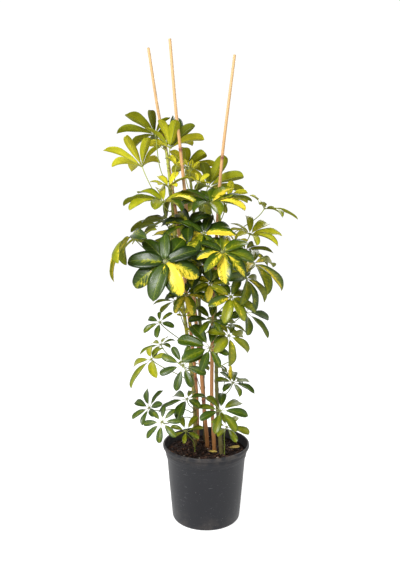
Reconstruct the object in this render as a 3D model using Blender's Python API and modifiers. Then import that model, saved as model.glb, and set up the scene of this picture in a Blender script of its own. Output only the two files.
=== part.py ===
# Potted umbrella plant: a nursery pot of bark compost with three bamboo canes,
# three living stems tied to them, and the hand-shaped leaves the stems carry.
# Metres, +Z up. The origin is the middle of the pot's underside.

import random
from collections import namedtuple
from math import atan2, cos, pi, radians, sin

import bmesh
import bpy
from mathutils import Matrix, Vector
from mathutils.bvhtree import BVHTree

# Pot and compost
potHeight = 0.212
rimRadius = 0.120
rimInnerRadius = 0.1145
rimRoll = 0.0105            # height of the rolled rim
collarDepth = 0.036         # rim top to the lower edge of the collar
baseRadius = 0.0938         # where the wall would meet the ground
wallTaper = 0.0875          # growth of the radius for each metre of height
potWall = 0.002
turnSteps = 24
drainHoleRadius = 0.008
drainRingRadius = 0.062
drainHoles = 4
soilLevel = 0.187
plantingGap = 0.0003        # between pieces that touch

# Leaves
hubRadius = 0.003
petioleRadius = 0.0014
collarLength = 0.004        # the petiole's swelling under the hub
sheetThickness = 0.001
clearance = 0.0006          # kept between any two leaflets
leafletStations = ((0.2, 0), (0.62, 0.19), (1.0, 0.05))   # (share of the length, half width / length)
stalkHalfWidth = 0.0012
petioleFoot = 0.006         # straight start of a petiole, square to the stem

# Routes, foot first: (x, y, z)
routeSteps = 2
caneRoutes = {
    "cane_left": ((-0.021, 0.081, 0.045), (-0.024, 0.076, 0.187), (-0.026, 0.072, 0.310), (-0.036, 0.068, 0.440),
                  (-0.050, 0.065, 0.575), (-0.075, 0.060, 0.785), (-0.109, 0.055, 1.015), (-0.130, 0.053, 1.120),
                  (-0.154, 0.050, 1.280)),
    "cane_middle": ((0.008, 0.026, 0.045), (0.004, 0.024, 0.187), (-0.006, 0.019, 0.310), (-0.018, 0.012, 0.456),
                    (-0.031, 0.005, 0.583), (-0.054, -0.012, 0.866), (-0.069, -0.020, 1.020),
                    (-0.079, -0.025, 1.110), (-0.093, -0.030, 1.281)),
    "cane_right": ((0.027, 0.000, 0.045), (0.023, 0.002, 0.187), (0.016, 0.007, 0.320), (0.016, 0.010, 0.430),
                   (0.020, 0.014, 0.600), (0.031, 0.020, 0.840), (0.043, 0.025, 1.000), (0.074, 0.030, 1.257)),
}
caneRadii = (0.0057, 0.0038)    # at the foot and at the top
stemRoutes = {
    "stem_left": ((-0.031, 0.032, 0.120), (-0.031, 0.031, 0.187), (-0.033, 0.024, 0.330), (-0.054, 0.020, 0.520),
                  (-0.066, 0.018, 0.611), (-0.083, 0.022, 0.773), (-0.096, 0.027, 0.906), (-0.107, 0.034, 1.008)),
    "stem_middle": ((0.000, 0.061, 0.120), (-0.001, 0.060, 0.187), (-0.008, 0.058, 0.350), (-0.016, 0.054, 0.520),
                    (-0.024, 0.050, 0.700), (-0.034, 0.045, 0.850), (-0.045, 0.040, 0.952)),
    "stem_right": ((0.044, -0.027, 0.120), (0.042, -0.026, 0.187), (0.030, -0.022, 0.335), (0.027, -0.016, 0.450),
                   (0.024, -0.010, 0.540), (0.026, -0.008, 0.616), (0.031, -0.012, 0.700), (0.037, -0.016, 0.775),
                   (0.033, -0.012, 0.862)),
}
stemRadii = (0.0062, 0.0033)

# A tie holds a cane and a stem together: (cane, stem, height)
ties = {
    "tie_left": ("cane_left", "stem_left", 0.888),
    "tie_right": ("cane_right", "stem_right", 0.497),
}
tieRadius = 0.0011

# Shed leaflets on the compost: (x, y), heading in degrees, length
shedLeaflets = {
    "shed_leaflet_right": ((0.058, 0.012), -10, 0.034),
    "shed_leaflet_front": ((0.002, -0.012), -35, 0.030),
}

# Feet of the two shoots that rise from the compost: (x, y)
shootFeet = {"shoot_left": (-0.031, -0.014), "shoot_right": (0.050, -0.034)}

# One row for each leaf. seat and height: the stem that carries it and where. hub: where its
# leaflets meet. face and tilt: the compass angle it leans to and how far, in degrees.
# spin: direction of its longest leaflet, 0 to the right and 90 up or back, seen from the front.
# taper: how much shorter the opposite leaflet is. lift and bend: a leaflet's rise at the hub and
# how far it curls over along its length.
Leaf = namedtuple("Leaf", "name seat height hub face tilt spin count length taper lift bend")
leaves = [Leaf(*row) for row in (
    ("hero_left", "stem_left", 0.690, (-0.101, -0.150, 0.729), -100, 60, -105, 9, 0.107, 0.30, 6, 26),
    ("hero_right", "stem_right", 0.690, (0.038, -0.145, 0.752), -80, 44, -45, 9, 0.088, 0.30, 10, 34),
    ("star_left", "stem_left", 0.400, (-0.060, -0.130, 0.465), -95, 62, -110, 8, 0.067, 0.24, 14, 22),
    ("star_middle", "stem_right", 0.450, (0.008, -0.115, 0.506), -85, 52, 165, 8, 0.088, 0.42, 10, 30),
    ("star_low", "stem_left", 0.270, (-0.114, -0.130, 0.316), -110, 55, -92, 8, 0.056, 0.30, 12, 28),
    ("crown_left", "stem_left", 0.930, (-0.136, 0.020, 1.053), 115, 30, 178, 8, 0.106, 0.50, 30, 26),
    ("crown_tip", "stem_left", 0.965, (-0.095, -0.010, 1.015), 70, 30, 60, 8, 0.104, 0.28, 50, 30),
    ("crown_reach", "stem_left", 0.850, (-0.171, 0.010, 0.969), 125, 34, 150, 7, 0.110, 0.32, 44, 28),
    ("crown_skirt", "stem_left", 0.780, (-0.110, -0.050, 0.873), -90, 14, 180, 9, 0.106, 0.16, 24, 46),
    ("crown_inner", "stem_left", 0.850, (-0.099, -0.022, 0.914), -90, 20, 60, 6, 0.060, 0.20, 35, 25),
    ("middle_top", "stem_middle", 0.880, (-0.055, 0.075, 0.970), 60, 34, 40, 8, 0.092, 0.30, 30, 28),
    ("right_crown", "stem_middle", 0.830, (0.005, 0.060, 0.917), 60, 36, 25, 8, 0.112, 0.36, 34, 28),
    ("right_shoulder", "stem_right", 0.800, (0.011, -0.055, 0.871), -85, 20, 10, 8, 0.104, 0.24, 22, 36),
    ("right_nook", "stem_right", 0.828, (0.060, 0.045, 0.884), 50, 24, 30, 6, 0.064, 0.25, 34, 30),
    ("right_reach_high", "stem_right", 0.770, (0.159, 0.040, 0.858), 0, 30, -8, 7, 0.094, 0.42, 26, 34),
    ("right_reach", "stem_right", 0.710, (0.115, -0.020, 0.790), -60, 28, 8, 8, 0.090, 0.38, 26, 36),
    ("heart_top", "stem_middle", 0.720, (-0.007, -0.090, 0.795), -90, 46, -65, 8, 0.092, 0.32, 14, 32),
    ("heart_left", "stem_left", 0.740, (-0.045, -0.075, 0.815), -125, 30, 160, 7, 0.080, 0.26, 20, 34),
    ("heart_deep", "stem_middle", 0.640, (-0.017, -0.040, 0.712), -90, 42, 250, 7, 0.080, 0.25, 12, 34),
    ("heart_low", "stem_right", 0.600, (0.010, -0.085, 0.668), -90, 50, -100, 7, 0.054, 0.20, 14, 36),
    ("left_cascade", "stem_left", 0.650, (-0.190, -0.095, 0.788), 180, 46, 184, 7, 0.128, 0.46, 4, 40),
    ("left_dark", "stem_left", 0.730, (-0.113, 0.080, 0.825), 150, 24, 180, 8, 0.102, 0.38, 12, 28),
    ("left_spray", "stem_left", 0.700, (-0.170, 0.060, 0.783), 180, 30, 200, 6, 0.062, 0.25, 20, 34),
    ("right_fold", "stem_right", 0.630, (0.102, -0.070, 0.679), -30, 54, -50, 8, 0.094, 0.42, 8, 44),
    ("right_sweep", "stem_right", 0.650, (0.126, -0.005, 0.712), -50, 42, -18, 7, 0.116, 0.46, 12, 40),
    ("right_behind", "stem_right", 0.675, (0.112, 0.085, 0.742), 50, 34, 30, 7, 0.082, 0.30, 20, 34),
    ("right_drape", "stem_right", 0.570, (0.061, -0.105, 0.635), -70, 46, -60, 8, 0.076, 0.26, 12, 40),
    ("left_low", "stem_left", 0.570, (-0.053, -0.085, 0.639), -95, 40, -70, 7, 0.066, 0.28, 14, 44),
    ("left_low_back", "stem_left", 0.530, (-0.088, 0.075, 0.598), 130, 36, 200, 6, 0.062, 0.25, 18, 36),
    ("star_right", "stem_right", 0.520, (0.104, -0.050, 0.587), -40, 44, -35, 7, 0.088, 0.45, 14, 34),
    ("wisp_left_high", "stem_left", 0.490, (-0.124, -0.030, 0.556), -120, 44, -90, 6, 0.052, 0.30, 18, 30),
    ("wisp_left", "stem_left", 0.410, (-0.126, 0.030, 0.482), -140, 24, 190, 6, 0.064, 0.40, 14, 34),
    ("wisp_left_low", "stem_left", 0.380, (-0.145, -0.070, 0.465), -150, 46, -140, 6, 0.090, 0.52, 12, 34),
    ("middle_small", "stem_middle", 0.490, (0.012, -0.085, 0.572), -90, 32, 185, 7, 0.060, 0.26, 20, 32),
    ("right_droop", "stem_right", 0.470, (0.058, -0.085, 0.531), -60, 54, -80, 7, 0.082, 0.46, 8, 48),
    ("right_low", "stem_right", 0.340, (0.070, -0.062, 0.400), -60, 22, -20, 7, 0.060, 0.26, 16, 36),
    ("right_base", "stem_right", 0.270, (0.036, -0.095, 0.334), -80, 32, -10, 8, 0.074, 0.20, 16, 38),
    ("left_low_tuft", "stem_left", 0.290, (-0.154, -0.045, 0.325), -140, 50, 95, 7, 0.062, 0.26, 18, 26),
    ("left_strap", "stem_left", 0.300, (-0.052, -0.055, 0.353), -125, 18, 190, 6, 0.082, 0.42, 10, 38),
    ("middle_low", "stem_middle", 0.330, (-0.030, 0.105, 0.408), 80, 40, 45, 6, 0.060, 0.25, 20, 34),
    ("right_inner_low", "stem_right", 0.330, (0.062, 0.020, 0.400), 20, 44, 10, 7, 0.052, 0.20, 18, 32),
    ("shoot_left", "soil", 0, (-0.055, -0.050, 0.262), -90, 34, 60, 7, 0.052, 0.26, 22, 28),
    ("shoot_right", "soil", 0, (0.054, -0.072, 0.281), -60, 34, -10, 6, 0.060, 0.30, 20, 30),
    ("back_high", "stem_middle", 0.800, (-0.010, 0.160, 0.880), 80, 34, 80, 8, 0.100, 0.30, 18, 34),
    ("back_left", "stem_middle", 0.700, (-0.085, 0.165, 0.775), 110, 40, 120, 8, 0.096, 0.30, 14, 36),
    ("back_right", "stem_middle", 0.620, (0.050, 0.165, 0.715), 65, 44, 60, 8, 0.100, 0.32, 12, 36),
    ("back_low", "stem_middle", 0.520, (-0.040, 0.170, 0.610), 95, 46, 90, 8, 0.086, 0.28, 12, 36),
    ("back_shade", "stem_middle", 0.430, (0.050, 0.130, 0.520), 60, 42, 50, 7, 0.076, 0.28, 14, 34),
)]

# What a leaflet or a petiole tries in turn until it is clear of all that is built
leafletMoves = sorted(
    ((lift, turn) for lift in (0, 14, -14, 28, -28, 42, -42, 56) for turn in (0, 7, -7, 14, -14)),
    key=lambda move: abs(move[0]) + 2 * abs(move[1]),
)
petioleSwings = (0, 0.02, -0.02, 0.04, -0.04, 0.06, -0.06)


def clearScene():
    for obj in list(bpy.data.objects):
        bpy.data.objects.remove(obj, do_unlink=True)


def newCollection(name):
    collection = bpy.data.collections.new(name)
    bpy.context.scene.collection.children.link(collection)
    return collection


def material(name, color, roughness):
    made = bpy.data.materials.new(name)
    made.use_nodes = True
    shader = made.node_tree.nodes["Principled BSDF"]
    shader.inputs["Base Color"].default_value = (*color, 1)
    shader.inputs["Roughness"].default_value = roughness
    shader.inputs["Metallic"].default_value = 0
    return made


def addObject(name, data, collection, finish):
    obj = bpy.data.objects.new(name, data)
    data.materials.append(finish)
    collection.objects.link(obj)
    return obj


# Routes and tubes

def smoothRoute(points, stepsEach):
    """Catmull-Rom points through a route."""
    points = [Vector(p) for p in points]
    ends = [2 * points[0] - points[1]] + points + [2 * points[-1] - points[-2]]
    route = []
    for a, b, c, d in zip(ends, ends[1:], ends[2:], ends[3:]):
        for step in range(stepsEach):
            t = step / stepsEach
            route.append(0.5 * (2 * b + (c - a) * t + (2 * a - 5 * b + 4 * c - d) * t ** 2
                                + (3 * b - a - 3 * c + d) * t ** 3))
    return route + [points[-1]]


def radiusAt(radii, route, z):
    share = (z - route[0].z) / (route[-1].z - route[0].z)
    return radii[0] + (radii[1] - radii[0]) * share


def pointAt(route, z):
    """The route's point and direction at a height."""
    for low, high in zip(route, route[1:]):
        if z <= high.z:
            break
    share = (z - low.z) / (high.z - low.z)
    return low.lerp(high, share), (high - low).normalized()


def tube(name, route, radii, collection, finish, cyclic=False, extra=0.0):
    """A curve object along a route, its radius running from the first to the second of radii."""
    curve = bpy.data.curves.new(name, "CURVE")
    curve.dimensions = "3D"
    curve.bevel_depth = 1.0
    curve.bevel_resolution = 1 if cyclic else 2
    curve.use_fill_caps = not cyclic
    spline = curve.splines.new("POLY")
    spline.points.add(len(route) - 1)
    spline.use_cyclic_u = cyclic
    for point, place in zip(spline.points, route):
        point.co = (*place, 1)
        point.radius = radiusAt(radii, route, place.z) + extra if not cyclic else radii[0]
    return addObject(name, curve, collection, finish)


def asMesh(obj):
    """Turns a curve object into a mesh with welded caps."""
    depsgraph = bpy.context.evaluated_depsgraph_get()
    mesh = bpy.data.meshes.new_from_object(obj.evaluated_get(depsgraph))
    bm = bmesh.new()
    bm.from_mesh(mesh)
    bmesh.ops.remove_doubles(bm, verts=bm.verts, dist=0.00001)
    bm.to_mesh(mesh)
    bm.free()
    made = bpy.data.objects.new(obj.name, mesh)
    made.matrix_world = obj.matrix_world
    obj.users_collection[0].objects.link(made)
    bpy.data.objects.remove(obj)
    return made


def turned(name, profile, collection, finish):
    """A Screw around Z of a profile of (radius, height) that runs down its outer side."""
    bm = bmesh.new()
    ring = [bm.verts.new((r, 0, z)) for r, z in profile]
    for a, b in zip(ring, ring[1:]):
        bm.edges.new((a, b))
    mesh = bpy.data.meshes.new(name)
    bm.to_mesh(mesh)
    bm.free()
    obj = addObject(name, mesh, collection, finish)
    screw = obj.modifiers.new("Turn", "SCREW")
    screw.steps = turnSteps
    screw.render_steps = turnSteps
    screw.use_merge_vertices = True
    screw.merge_threshold = 0.00001
    return obj


def cut(obj, cutter):
    cutter.hide_render = True
    cutter.display_type = "WIRE"
    boolean = obj.modifiers.new("Cut", "BOOLEAN")
    boolean.operation = "DIFFERENCE"
    boolean.object = cutter


# Pot and compost

def wallRadius(z):
    """Outer radius of the pot's wall below the collar."""
    return baseRadius + wallTaper * z


def makePot(parts, cutters, finish):
    collarTop = potHeight - rimRoll
    collarBottom = potHeight - collarDepth
    heel = 0.006
    profile = [
        (0, potWall),
        (wallRadius(0) - heel, potWall),
        (wallRadius(heel) - potWall, heel + potWall),
        (wallRadius(collarBottom) - potWall, collarBottom),
        (rimInnerRadius - 0.003, collarBottom + 0.003),
        (rimInnerRadius, potHeight - 0.003),
        (rimInnerRadius + 0.0020, potHeight),
        (rimRadius - 0.0020, potHeight),
        (rimRadius, potHeight - 0.004),
        (rimRadius - 0.0010, collarTop),
        (rimRadius - 0.0055, collarTop),
        (wallRadius(collarBottom) + 0.0015, collarBottom + 0.0015),
        (wallRadius(collarBottom), collarBottom),
        (wallRadius(heel), heel),
        (wallRadius(0) - heel, 0),
        (0, 0),
    ]
    pot = turned("pot", profile, parts, finish)
    for i in range(drainHoles):
        angle = 2 * pi * (i + 0.5) / drainHoles
        bm = bmesh.new()
        bmesh.ops.create_cone(bm, cap_ends=True, segments=8, radius1=drainHoleRadius,
                              radius2=drainHoleRadius, depth=4 * potWall)
        bmesh.ops.translate(bm, verts=bm.verts,
                            vec=(drainRingRadius * cos(angle), drainRingRadius * sin(angle), 0))
        mesh = bpy.data.meshes.new(f"drain_cutter_{i}")
        bm.to_mesh(mesh)
        bm.free()
        cutter = bpy.data.objects.new(mesh.name, mesh)
        cutters.objects.link(cutter)
        cut(pot, cutter)
    return pot


def makeSoil(parts, cutters, finish, routes):
    """Compost up to its level, with a hole for each cane and stem."""
    heel = 0.006
    collarBottom = potHeight - collarDepth
    inset = potWall + plantingGap
    profile = [
        (0, soilLevel),
        (rimInnerRadius - 0.003 - plantingGap, soilLevel),
        (rimInnerRadius - 0.003 - plantingGap, collarBottom + 0.0035),
        (wallRadius(collarBottom) - inset, collarBottom),
        (wallRadius(heel) - inset, heel + potWall),
        (wallRadius(0) - heel - plantingGap, potWall + plantingGap),
        (0, potWall + plantingGap),
    ]
    soil = turned("soil", profile, parts, finish)
    for name, (route, radii) in routes.items():
        above = next(i for i, p in enumerate(route) if p.z > soilLevel + 0.02)
        heading = (route[1] - route[0]).normalized()
        reach = [route[0] - heading * plantingGap] + route[1:above + 1]
        ends = (radiusAt(radii, route, reach[0].z), radiusAt(radii, route, reach[-1].z))
        cut(soil, asMesh(tube(f"{name}_socket", reach, ends, cutters, finish, extra=1.3 * plantingGap)))
    return soil


# Ties and shed leaflets

def makeTie(name, parts, finish, routes):
    """A loop of twine drawn round a cane and a stem, half way round each."""
    cane, stem, height = ties[name]
    ends = []
    for member in (cane, stem):
        route, radii = routes[member]
        place, _ = pointAt(route, height)
        ends.append((place, radiusAt(radii, route, height) + tieRadius + plantingGap))
    across = (ends[1][0] - ends[0][0]).normalized()
    beside = Vector((-across.y, across.x, 0))
    loop = []
    turns = 6
    for (place, reach), away in zip(ends, (-across, across)):
        start = beside if away == -across else -beside
        for i in range(turns + 1):
            angle = pi * i / turns
            loop.append(place + reach * 1.04 * (start * cos(angle) + away * sin(angle)))
    return tube(name, loop, (tieRadius, tieRadius), parts, finish, cyclic=True)


def makeShedLeaflet(name, parts, finish):
    """A dry leaflet on the compost: flat underneath, its rim curled up."""
    (x, y), heading, length = shedLeaflets[name]
    bm = bmesh.new()
    bmesh.ops.create_grid(bm, x_segments=4, y_segments=2, size=0.5)
    for v in bm.verts:
        along = v.co.x + 0.5
        width = 0.08 + 0.34 * sin(pi * min(along * 0.92 + 0.06, 1))
        v.co.x = along * length
        v.co.y *= 2 * width * length * 0.5
        v.co.z = 0.10 * length * (2 * abs(along - 0.5)) ** 2
    bmesh.ops.solidify(bm, geom=bm.faces[:], thickness=-sheetThickness)
    lowest = min(v.co.z for v in bm.verts)
    bmesh.ops.rotate(bm, verts=bm.verts, cent=(0, 0, 0), matrix=Matrix.Rotation(radians(heading), 3, "Z"))
    bmesh.ops.translate(bm, verts=bm.verts, vec=(x, y, soilLevel + plantingGap - lowest))
    bmesh.ops.recalc_face_normals(bm, faces=bm.faces)
    mesh = bpy.data.meshes.new(name)
    bm.to_mesh(mesh)
    bm.free()
    return addObject(name, mesh, parts, finish)


# Leaves

def leafAxes(leaf):
    """The rosette's normal, its right and its up."""
    tilt, face = radians(leaf.tilt), radians(leaf.face)
    normal = Vector((sin(tilt) * cos(face), sin(tilt) * sin(face), cos(tilt)))
    right = (Vector((1, 0, 0)) - normal * normal.x).normalized()
    return normal, right, normal.cross(right)


def leafletPlan(leaf):
    """(angle, length, lift, twist) of each leaflet, in radians and metres, before it is moved clear."""
    chance = random.Random(leaf.name)
    plan = []
    for k in range(leaf.count):
        turn = 2 * pi * k / leaf.count
        shrink = 1 - leaf.taper * (1 - cos(turn)) / 2
        angle = radians(leaf.spin + chance.uniform(-5, 5)) + turn
        length = leaf.length * shrink * chance.uniform(0.93, 1.04)
        lift = radians(leaf.lift + chance.uniform(-7, 7))
        twist = radians(chance.uniform(-22, 22))
        plan.append((angle, length, lift, twist))
    return plan


def leafletAt(leaf, angle, length, lift, twist, share):
    """A leaflet's midrib at a share of its length: the place, and the direction across the blade."""
    normal, right, up = leafAxes(leaf)
    outward = right * cos(angle) + up * sin(angle)
    bend = radians(leaf.bend)
    pitch = lift - bend * share
    run = (sin(lift) - sin(pitch)) / bend
    rise = (cos(pitch) - cos(lift)) / bend
    place = Vector(leaf.hub) + outward * (hubRadius + length * run) + normal * (length * rise)
    blade = normal * cos(pitch) - outward * sin(pitch)
    across = normal.cross(outward)
    return place, across * cos(twist * share) + blade * sin(twist * share)


def petiolePath(leaf, swing, routes):
    """Points from the petiole's foot to just under the hub."""
    hub = Vector(leaf.hub)
    normal, _, _ = leafAxes(leaf)
    if leaf.seat == "soil":
        foot = Vector((*shootFeet[leaf.name], soilLevel + plantingGap))
        outward = Vector((0, 0, 1))
    else:
        route, radii = routes[leaf.seat]
        centre, along = pointAt(route, leaf.height)
        outward = hub - centre
        outward = (outward - along * outward.dot(along)).normalized()
        foot = centre + outward * (radiusAt(radii, route, leaf.height) + plantingGap)
    start = foot + outward * petioleFoot
    end = hub - normal * collarLength
    reach = (end - start).length
    sideways = outward.cross(normal)
    sideways = sideways.normalized() if sideways.length > 0.01 else Vector((1, 0, 0))
    first = start + outward * 0.25 * reach + Vector((0, 0, 0.25 * reach)) + sideways * swing
    last = end - normal * 0.30 * reach + sideways * swing
    path = [foot, start]
    for t in (0.36, 0.7, 1.0):
        path.append(start * (1 - t) ** 3 + first * 3 * t * (1 - t) ** 2 + last * 3 * t * t * (1 - t) + end * t ** 3)
    return path


def extrudeAlong(bm, face, centre, heading, path, radius, radiusNow):
    """Draws a face out along a path as a stalk, keeping it square to the way it goes."""
    for i, place in enumerate(path):
        after = path[i + 1] if i + 1 < len(path) else place
        before = path[i - 1] if i else centre
        onward = (after - before).normalized()
        turn = heading.rotation_difference(onward)
        face = bmesh.ops.extrude_discrete_faces(bm, faces=[face])["faces"][0]
        for v in face.verts:
            v.co = place + turn @ (v.co - centre) * (radius / radiusNow)
        centre, heading, radiusNow = place, onward, radius
    return face


def treeOf(bm):
    """(centre, reach, search tree) of a scratch mesh, which it frees."""
    tree = BVHTree.FromBMesh(bm)
    centre = sum((v.co for v in bm.verts), Vector()) / len(bm.verts)
    reach = max((v.co - centre).length for v in bm.verts)
    bm.free()
    return centre, reach, tree


def stripTree(leaf, leaflet, move):
    """Search tree of one leaflet, a little thicker than it is, for finding clashes."""
    angle, length, lift, twist = leaflet
    angle += radians(move[1])
    lift += radians(move[0])
    bm = bmesh.new()
    row = None
    for share, wide in ((0.1, 0),) + leafletStations:
        place, across = leafletAt(leaf, angle, length, lift, twist, share)
        reach = across * (max(wide * length, stalkHalfWidth) + clearance / 2)
        pair = [bm.verts.new(place - reach), bm.verts.new(place + reach)]
        if row:
            bm.faces.new((row[0], row[1], pair[1], pair[0]))
        row = pair
    bmesh.ops.recalc_face_normals(bm, faces=bm.faces)
    bmesh.ops.solidify(bm, geom=bm.faces[:], thickness=sheetThickness + 2 * clearance)
    return treeOf(bm)


def petioleTree(path):
    """Search tree of a petiole, a little thicker than it is."""
    bm = bmesh.new()
    heading = (path[2] - path[1]).normalized()
    bmesh.ops.create_circle(bm, cap_ends=True, segments=6, radius=petioleRadius + clearance,
                            matrix=heading.to_track_quat("Z", "Y").to_matrix().to_4x4())
    bmesh.ops.translate(bm, verts=bm.verts, vec=path[1])
    extrudeAlong(bm, bm.faces[:][0], path[1], heading, path[2:], 1, 1)
    return treeOf(bm)


def hubTree(leaf):
    """Search tree of the swelling where a leaf's leaflets meet."""
    bm = bmesh.new()
    bmesh.ops.create_icosphere(bm, subdivisions=1, radius=hubRadius + 2 * clearance,
                               matrix=Matrix.Translation(leaf.hub))
    return treeOf(bm)


def clashes(candidate, placed):
    centre, reach, tree = candidate
    return any((centre - other[0]).length < reach + other[1] and tree.overlap(other[2]) for other in placed)


def firstClear(options, treeFor, placed, others=()):
    """The first option whose tree is clear of all that is placed, which it then joins."""
    for option in options:
        candidate = treeFor(option)
        if not clashes(candidate, placed) and not clashes(candidate, others):
            placed.append(candidate)
            return option
    return None


def makeLeaf(leaf, path, leaflets, parts, finish):
    """Hub, leaflets and petiole as one closed body."""
    normal, right, up = leafAxes(leaf)
    hub = Vector(leaf.hub)
    bm = bmesh.new()
    bmesh.ops.create_circle(bm, cap_ends=True, segments=leaf.count, radius=hubRadius)
    axes = Matrix((right, up, normal)).transposed()
    edges = bm.edges[:]
    middle = (edges[0].verts[0].co + edges[0].verts[1].co) / 2
    offset = radians(leaf.spin) - atan2(middle.y, middle.x)
    bmesh.ops.rotate(bm, verts=bm.verts, cent=(0, 0, 0), matrix=Matrix.Rotation(offset, 3, "Z"))
    for v in bm.verts:
        v.co = hub + axes @ v.co
    for angle, length, lift, twist in leaflets:
        outward = right * cos(angle) + up * sin(angle)
        edge = max(edges, key=lambda e: ((e.verts[0].co + e.verts[1].co) / 2 - hub).dot(outward))
        edges.remove(edge)
        for share, wide in leafletStations:
            middle = (edge.verts[0].co + edge.verts[1].co) / 2
            made = bmesh.ops.extrude_edge_only(bm, edges=[edge])["geom"]
            edge = [e for e in made if isinstance(e, bmesh.types.BMEdge)
                    and all(v in made for v in e.verts)][0]
            place, across = leafletAt(leaf, angle, length, lift, twist, share)
            for v in edge.verts:
                side = 1 if (v.co - middle).dot(across) > 0 else -1
                v.co = place + across * max(wide * length, stalkHalfWidth) * side
    bmesh.ops.recalc_face_normals(bm, faces=bm.faces)
    bmesh.ops.solidify(bm, geom=bm.faces[:], thickness=sheetThickness)
    bmesh.ops.recalc_face_normals(bm, faces=bm.faces)
    underside = min((f for f in bm.faces if len(f.verts) == leaf.count
                     and (f.calc_center_median() - hub).length < hubRadius),
                    key=lambda f: f.normal.dot(normal))
    extrudeAlong(bm, underside, underside.calc_center_median(), -normal, path[::-1], petioleRadius, hubRadius)
    bmesh.ops.recalc_face_normals(bm, faces=bm.faces)
    mesh = bpy.data.meshes.new(leaf.name)
    bm.to_mesh(mesh)
    bm.free()
    return addObject(f"leaf_{leaf.name}", mesh, parts, finish)


def solidTree(obj):
    """Search tree of a finished object."""
    bm = bmesh.new()
    bm.from_mesh(obj.evaluated_get(bpy.context.evaluated_depsgraph_get()).to_mesh())
    return treeOf(bm)


def makeLeaves(parts, finish, routes, placed):
    paths = {}
    hubs = {leaf.name: hubTree(leaf) for leaf in leaves}
    for leaf in leaves:
        others = [hub for name, hub in hubs.items() if name != leaf.name]
        swing = firstClear(petioleSwings, lambda s: petioleTree(petiolePath(leaf, s, routes)), placed, others)
        if swing is None:
            print(f"{leaf.name}: no clear way for the petiole")
            swing = 0
        paths[leaf.name] = petiolePath(leaf, swing, routes)
    placed.extend(hubs.values())
    for leaf in leaves:
        kept = []
        for leaflet in leafletPlan(leaf):
            move = firstClear(leafletMoves, lambda m: stripTree(leaf, leaflet, m), placed)
            if move is None:
                print(f"{leaf.name}: a leaflet left out")
                continue
            angle, length, lift, twist = leaflet
            kept.append((angle + radians(move[1]), length, lift + radians(move[0]), twist))
        makeLeaf(leaf, paths[leaf.name], kept, parts, finish)


def main():
    clearScene()
    parts = newCollection("potted_umbrella_plant")
    cutters = newCollection("cutters")
    plastic = material("nursery_pot_plastic", (0.055, 0.055, 0.060), 0.5)
    compost = material("bark_compost", (0.045, 0.025, 0.018), 0.95)
    bamboo = material("bamboo_cane", (0.60, 0.33, 0.12), 0.55)
    bark = material("green_stem", (0.26, 0.25, 0.06), 0.6)
    twine = material("tie_twine", (0.28, 0.05, 0.04), 0.8)
    foliage = material("umbrella_leaf", (0.10, 0.24, 0.03), 0.4)
    dry = material("dry_leaf", (0.45, 0.36, 0.06), 0.7)
    routes = {}
    for names, radii in ((caneRoutes, caneRadii), (stemRoutes, stemRadii)):
        for name, points in names.items():
            routes[name] = (smoothRoute(points, routeSteps), radii)
    built = []
    for name, (route, radii) in routes.items():
        built.append(tube(name, route, radii, parts, bamboo if name in caneRoutes else bark))
    built.append(makePot(parts, cutters, plastic))
    makeSoil(parts, cutters, compost, routes)
    for name in ties:
        built.append(makeTie(name, parts, twine, routes))
    for name in shedLeaflets:
        built.append(makeShedLeaflet(name, parts, dry))
    bpy.context.view_layer.update()
    placed = [solidTree(obj) for obj in built]
    makeLeaves(parts, foliage, routes, placed)
    for obj in parts.objects:
        if obj.type == "MESH":
            obj.data.shade_smooth()
            obj.data.set_sharp_from_angle(angle=radians(35))


main()
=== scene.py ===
import random
from collections import namedtuple
from math import cos, exp, pi, radians, sin

import bmesh
import bpy
from mathutils import Matrix, Vector, noise
from mathutils.kdtree import KDTree


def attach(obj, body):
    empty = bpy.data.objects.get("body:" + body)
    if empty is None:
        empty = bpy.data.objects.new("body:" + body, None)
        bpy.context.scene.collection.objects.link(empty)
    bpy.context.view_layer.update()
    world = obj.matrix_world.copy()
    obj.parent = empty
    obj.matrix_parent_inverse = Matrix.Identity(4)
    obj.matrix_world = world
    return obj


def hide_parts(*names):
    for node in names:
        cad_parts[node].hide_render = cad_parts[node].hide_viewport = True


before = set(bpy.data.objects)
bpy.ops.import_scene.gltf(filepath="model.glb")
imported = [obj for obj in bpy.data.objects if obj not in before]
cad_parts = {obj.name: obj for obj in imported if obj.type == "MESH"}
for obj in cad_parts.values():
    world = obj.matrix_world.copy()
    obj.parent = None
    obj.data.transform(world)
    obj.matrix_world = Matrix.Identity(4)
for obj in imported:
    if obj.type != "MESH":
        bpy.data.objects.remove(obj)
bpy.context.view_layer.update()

# Potted umbrella plant, in metres. Each piece stands for one plain solid, but for the smallest
# leaves, which have none.


class Field:
    # A shader socket that arithmetic can be written on.
    def __init__(self, paint, socket):
        self.paint = paint
        self.socket = socket

    def calc(self, operation, *values):
        return self.paint.node("ShaderNodeMath", {"operation": operation}, dict(enumerate(values)))

    def __add__(self, other):
        return self.calc("ADD", self, other)

    def __radd__(self, other):
        return self.calc("ADD", other, self)

    def __sub__(self, other):
        return self.calc("SUBTRACT", self, other)

    def __rsub__(self, other):
        return self.calc("SUBTRACT", other, self)

    def __mul__(self, other):
        return self.calc("MULTIPLY", self, other)

    def __rmul__(self, other):
        return self.calc("MULTIPLY", other, self)

    def __truediv__(self, other):
        return self.calc("DIVIDE", self, other)

    def size(self):
        return self.calc("ABSOLUTE", self)

    def fraction(self):
        return self.calc("FRACT", self)

    def clamped(self):
        return self.paint.node("ShaderNodeClamp", {}, {"Value": self})

    def above(self, level, softness):
        # 0 below the level and 1 above it, with a soft step between
        return ((self - level) / softness + 0.5).clamped()


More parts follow.
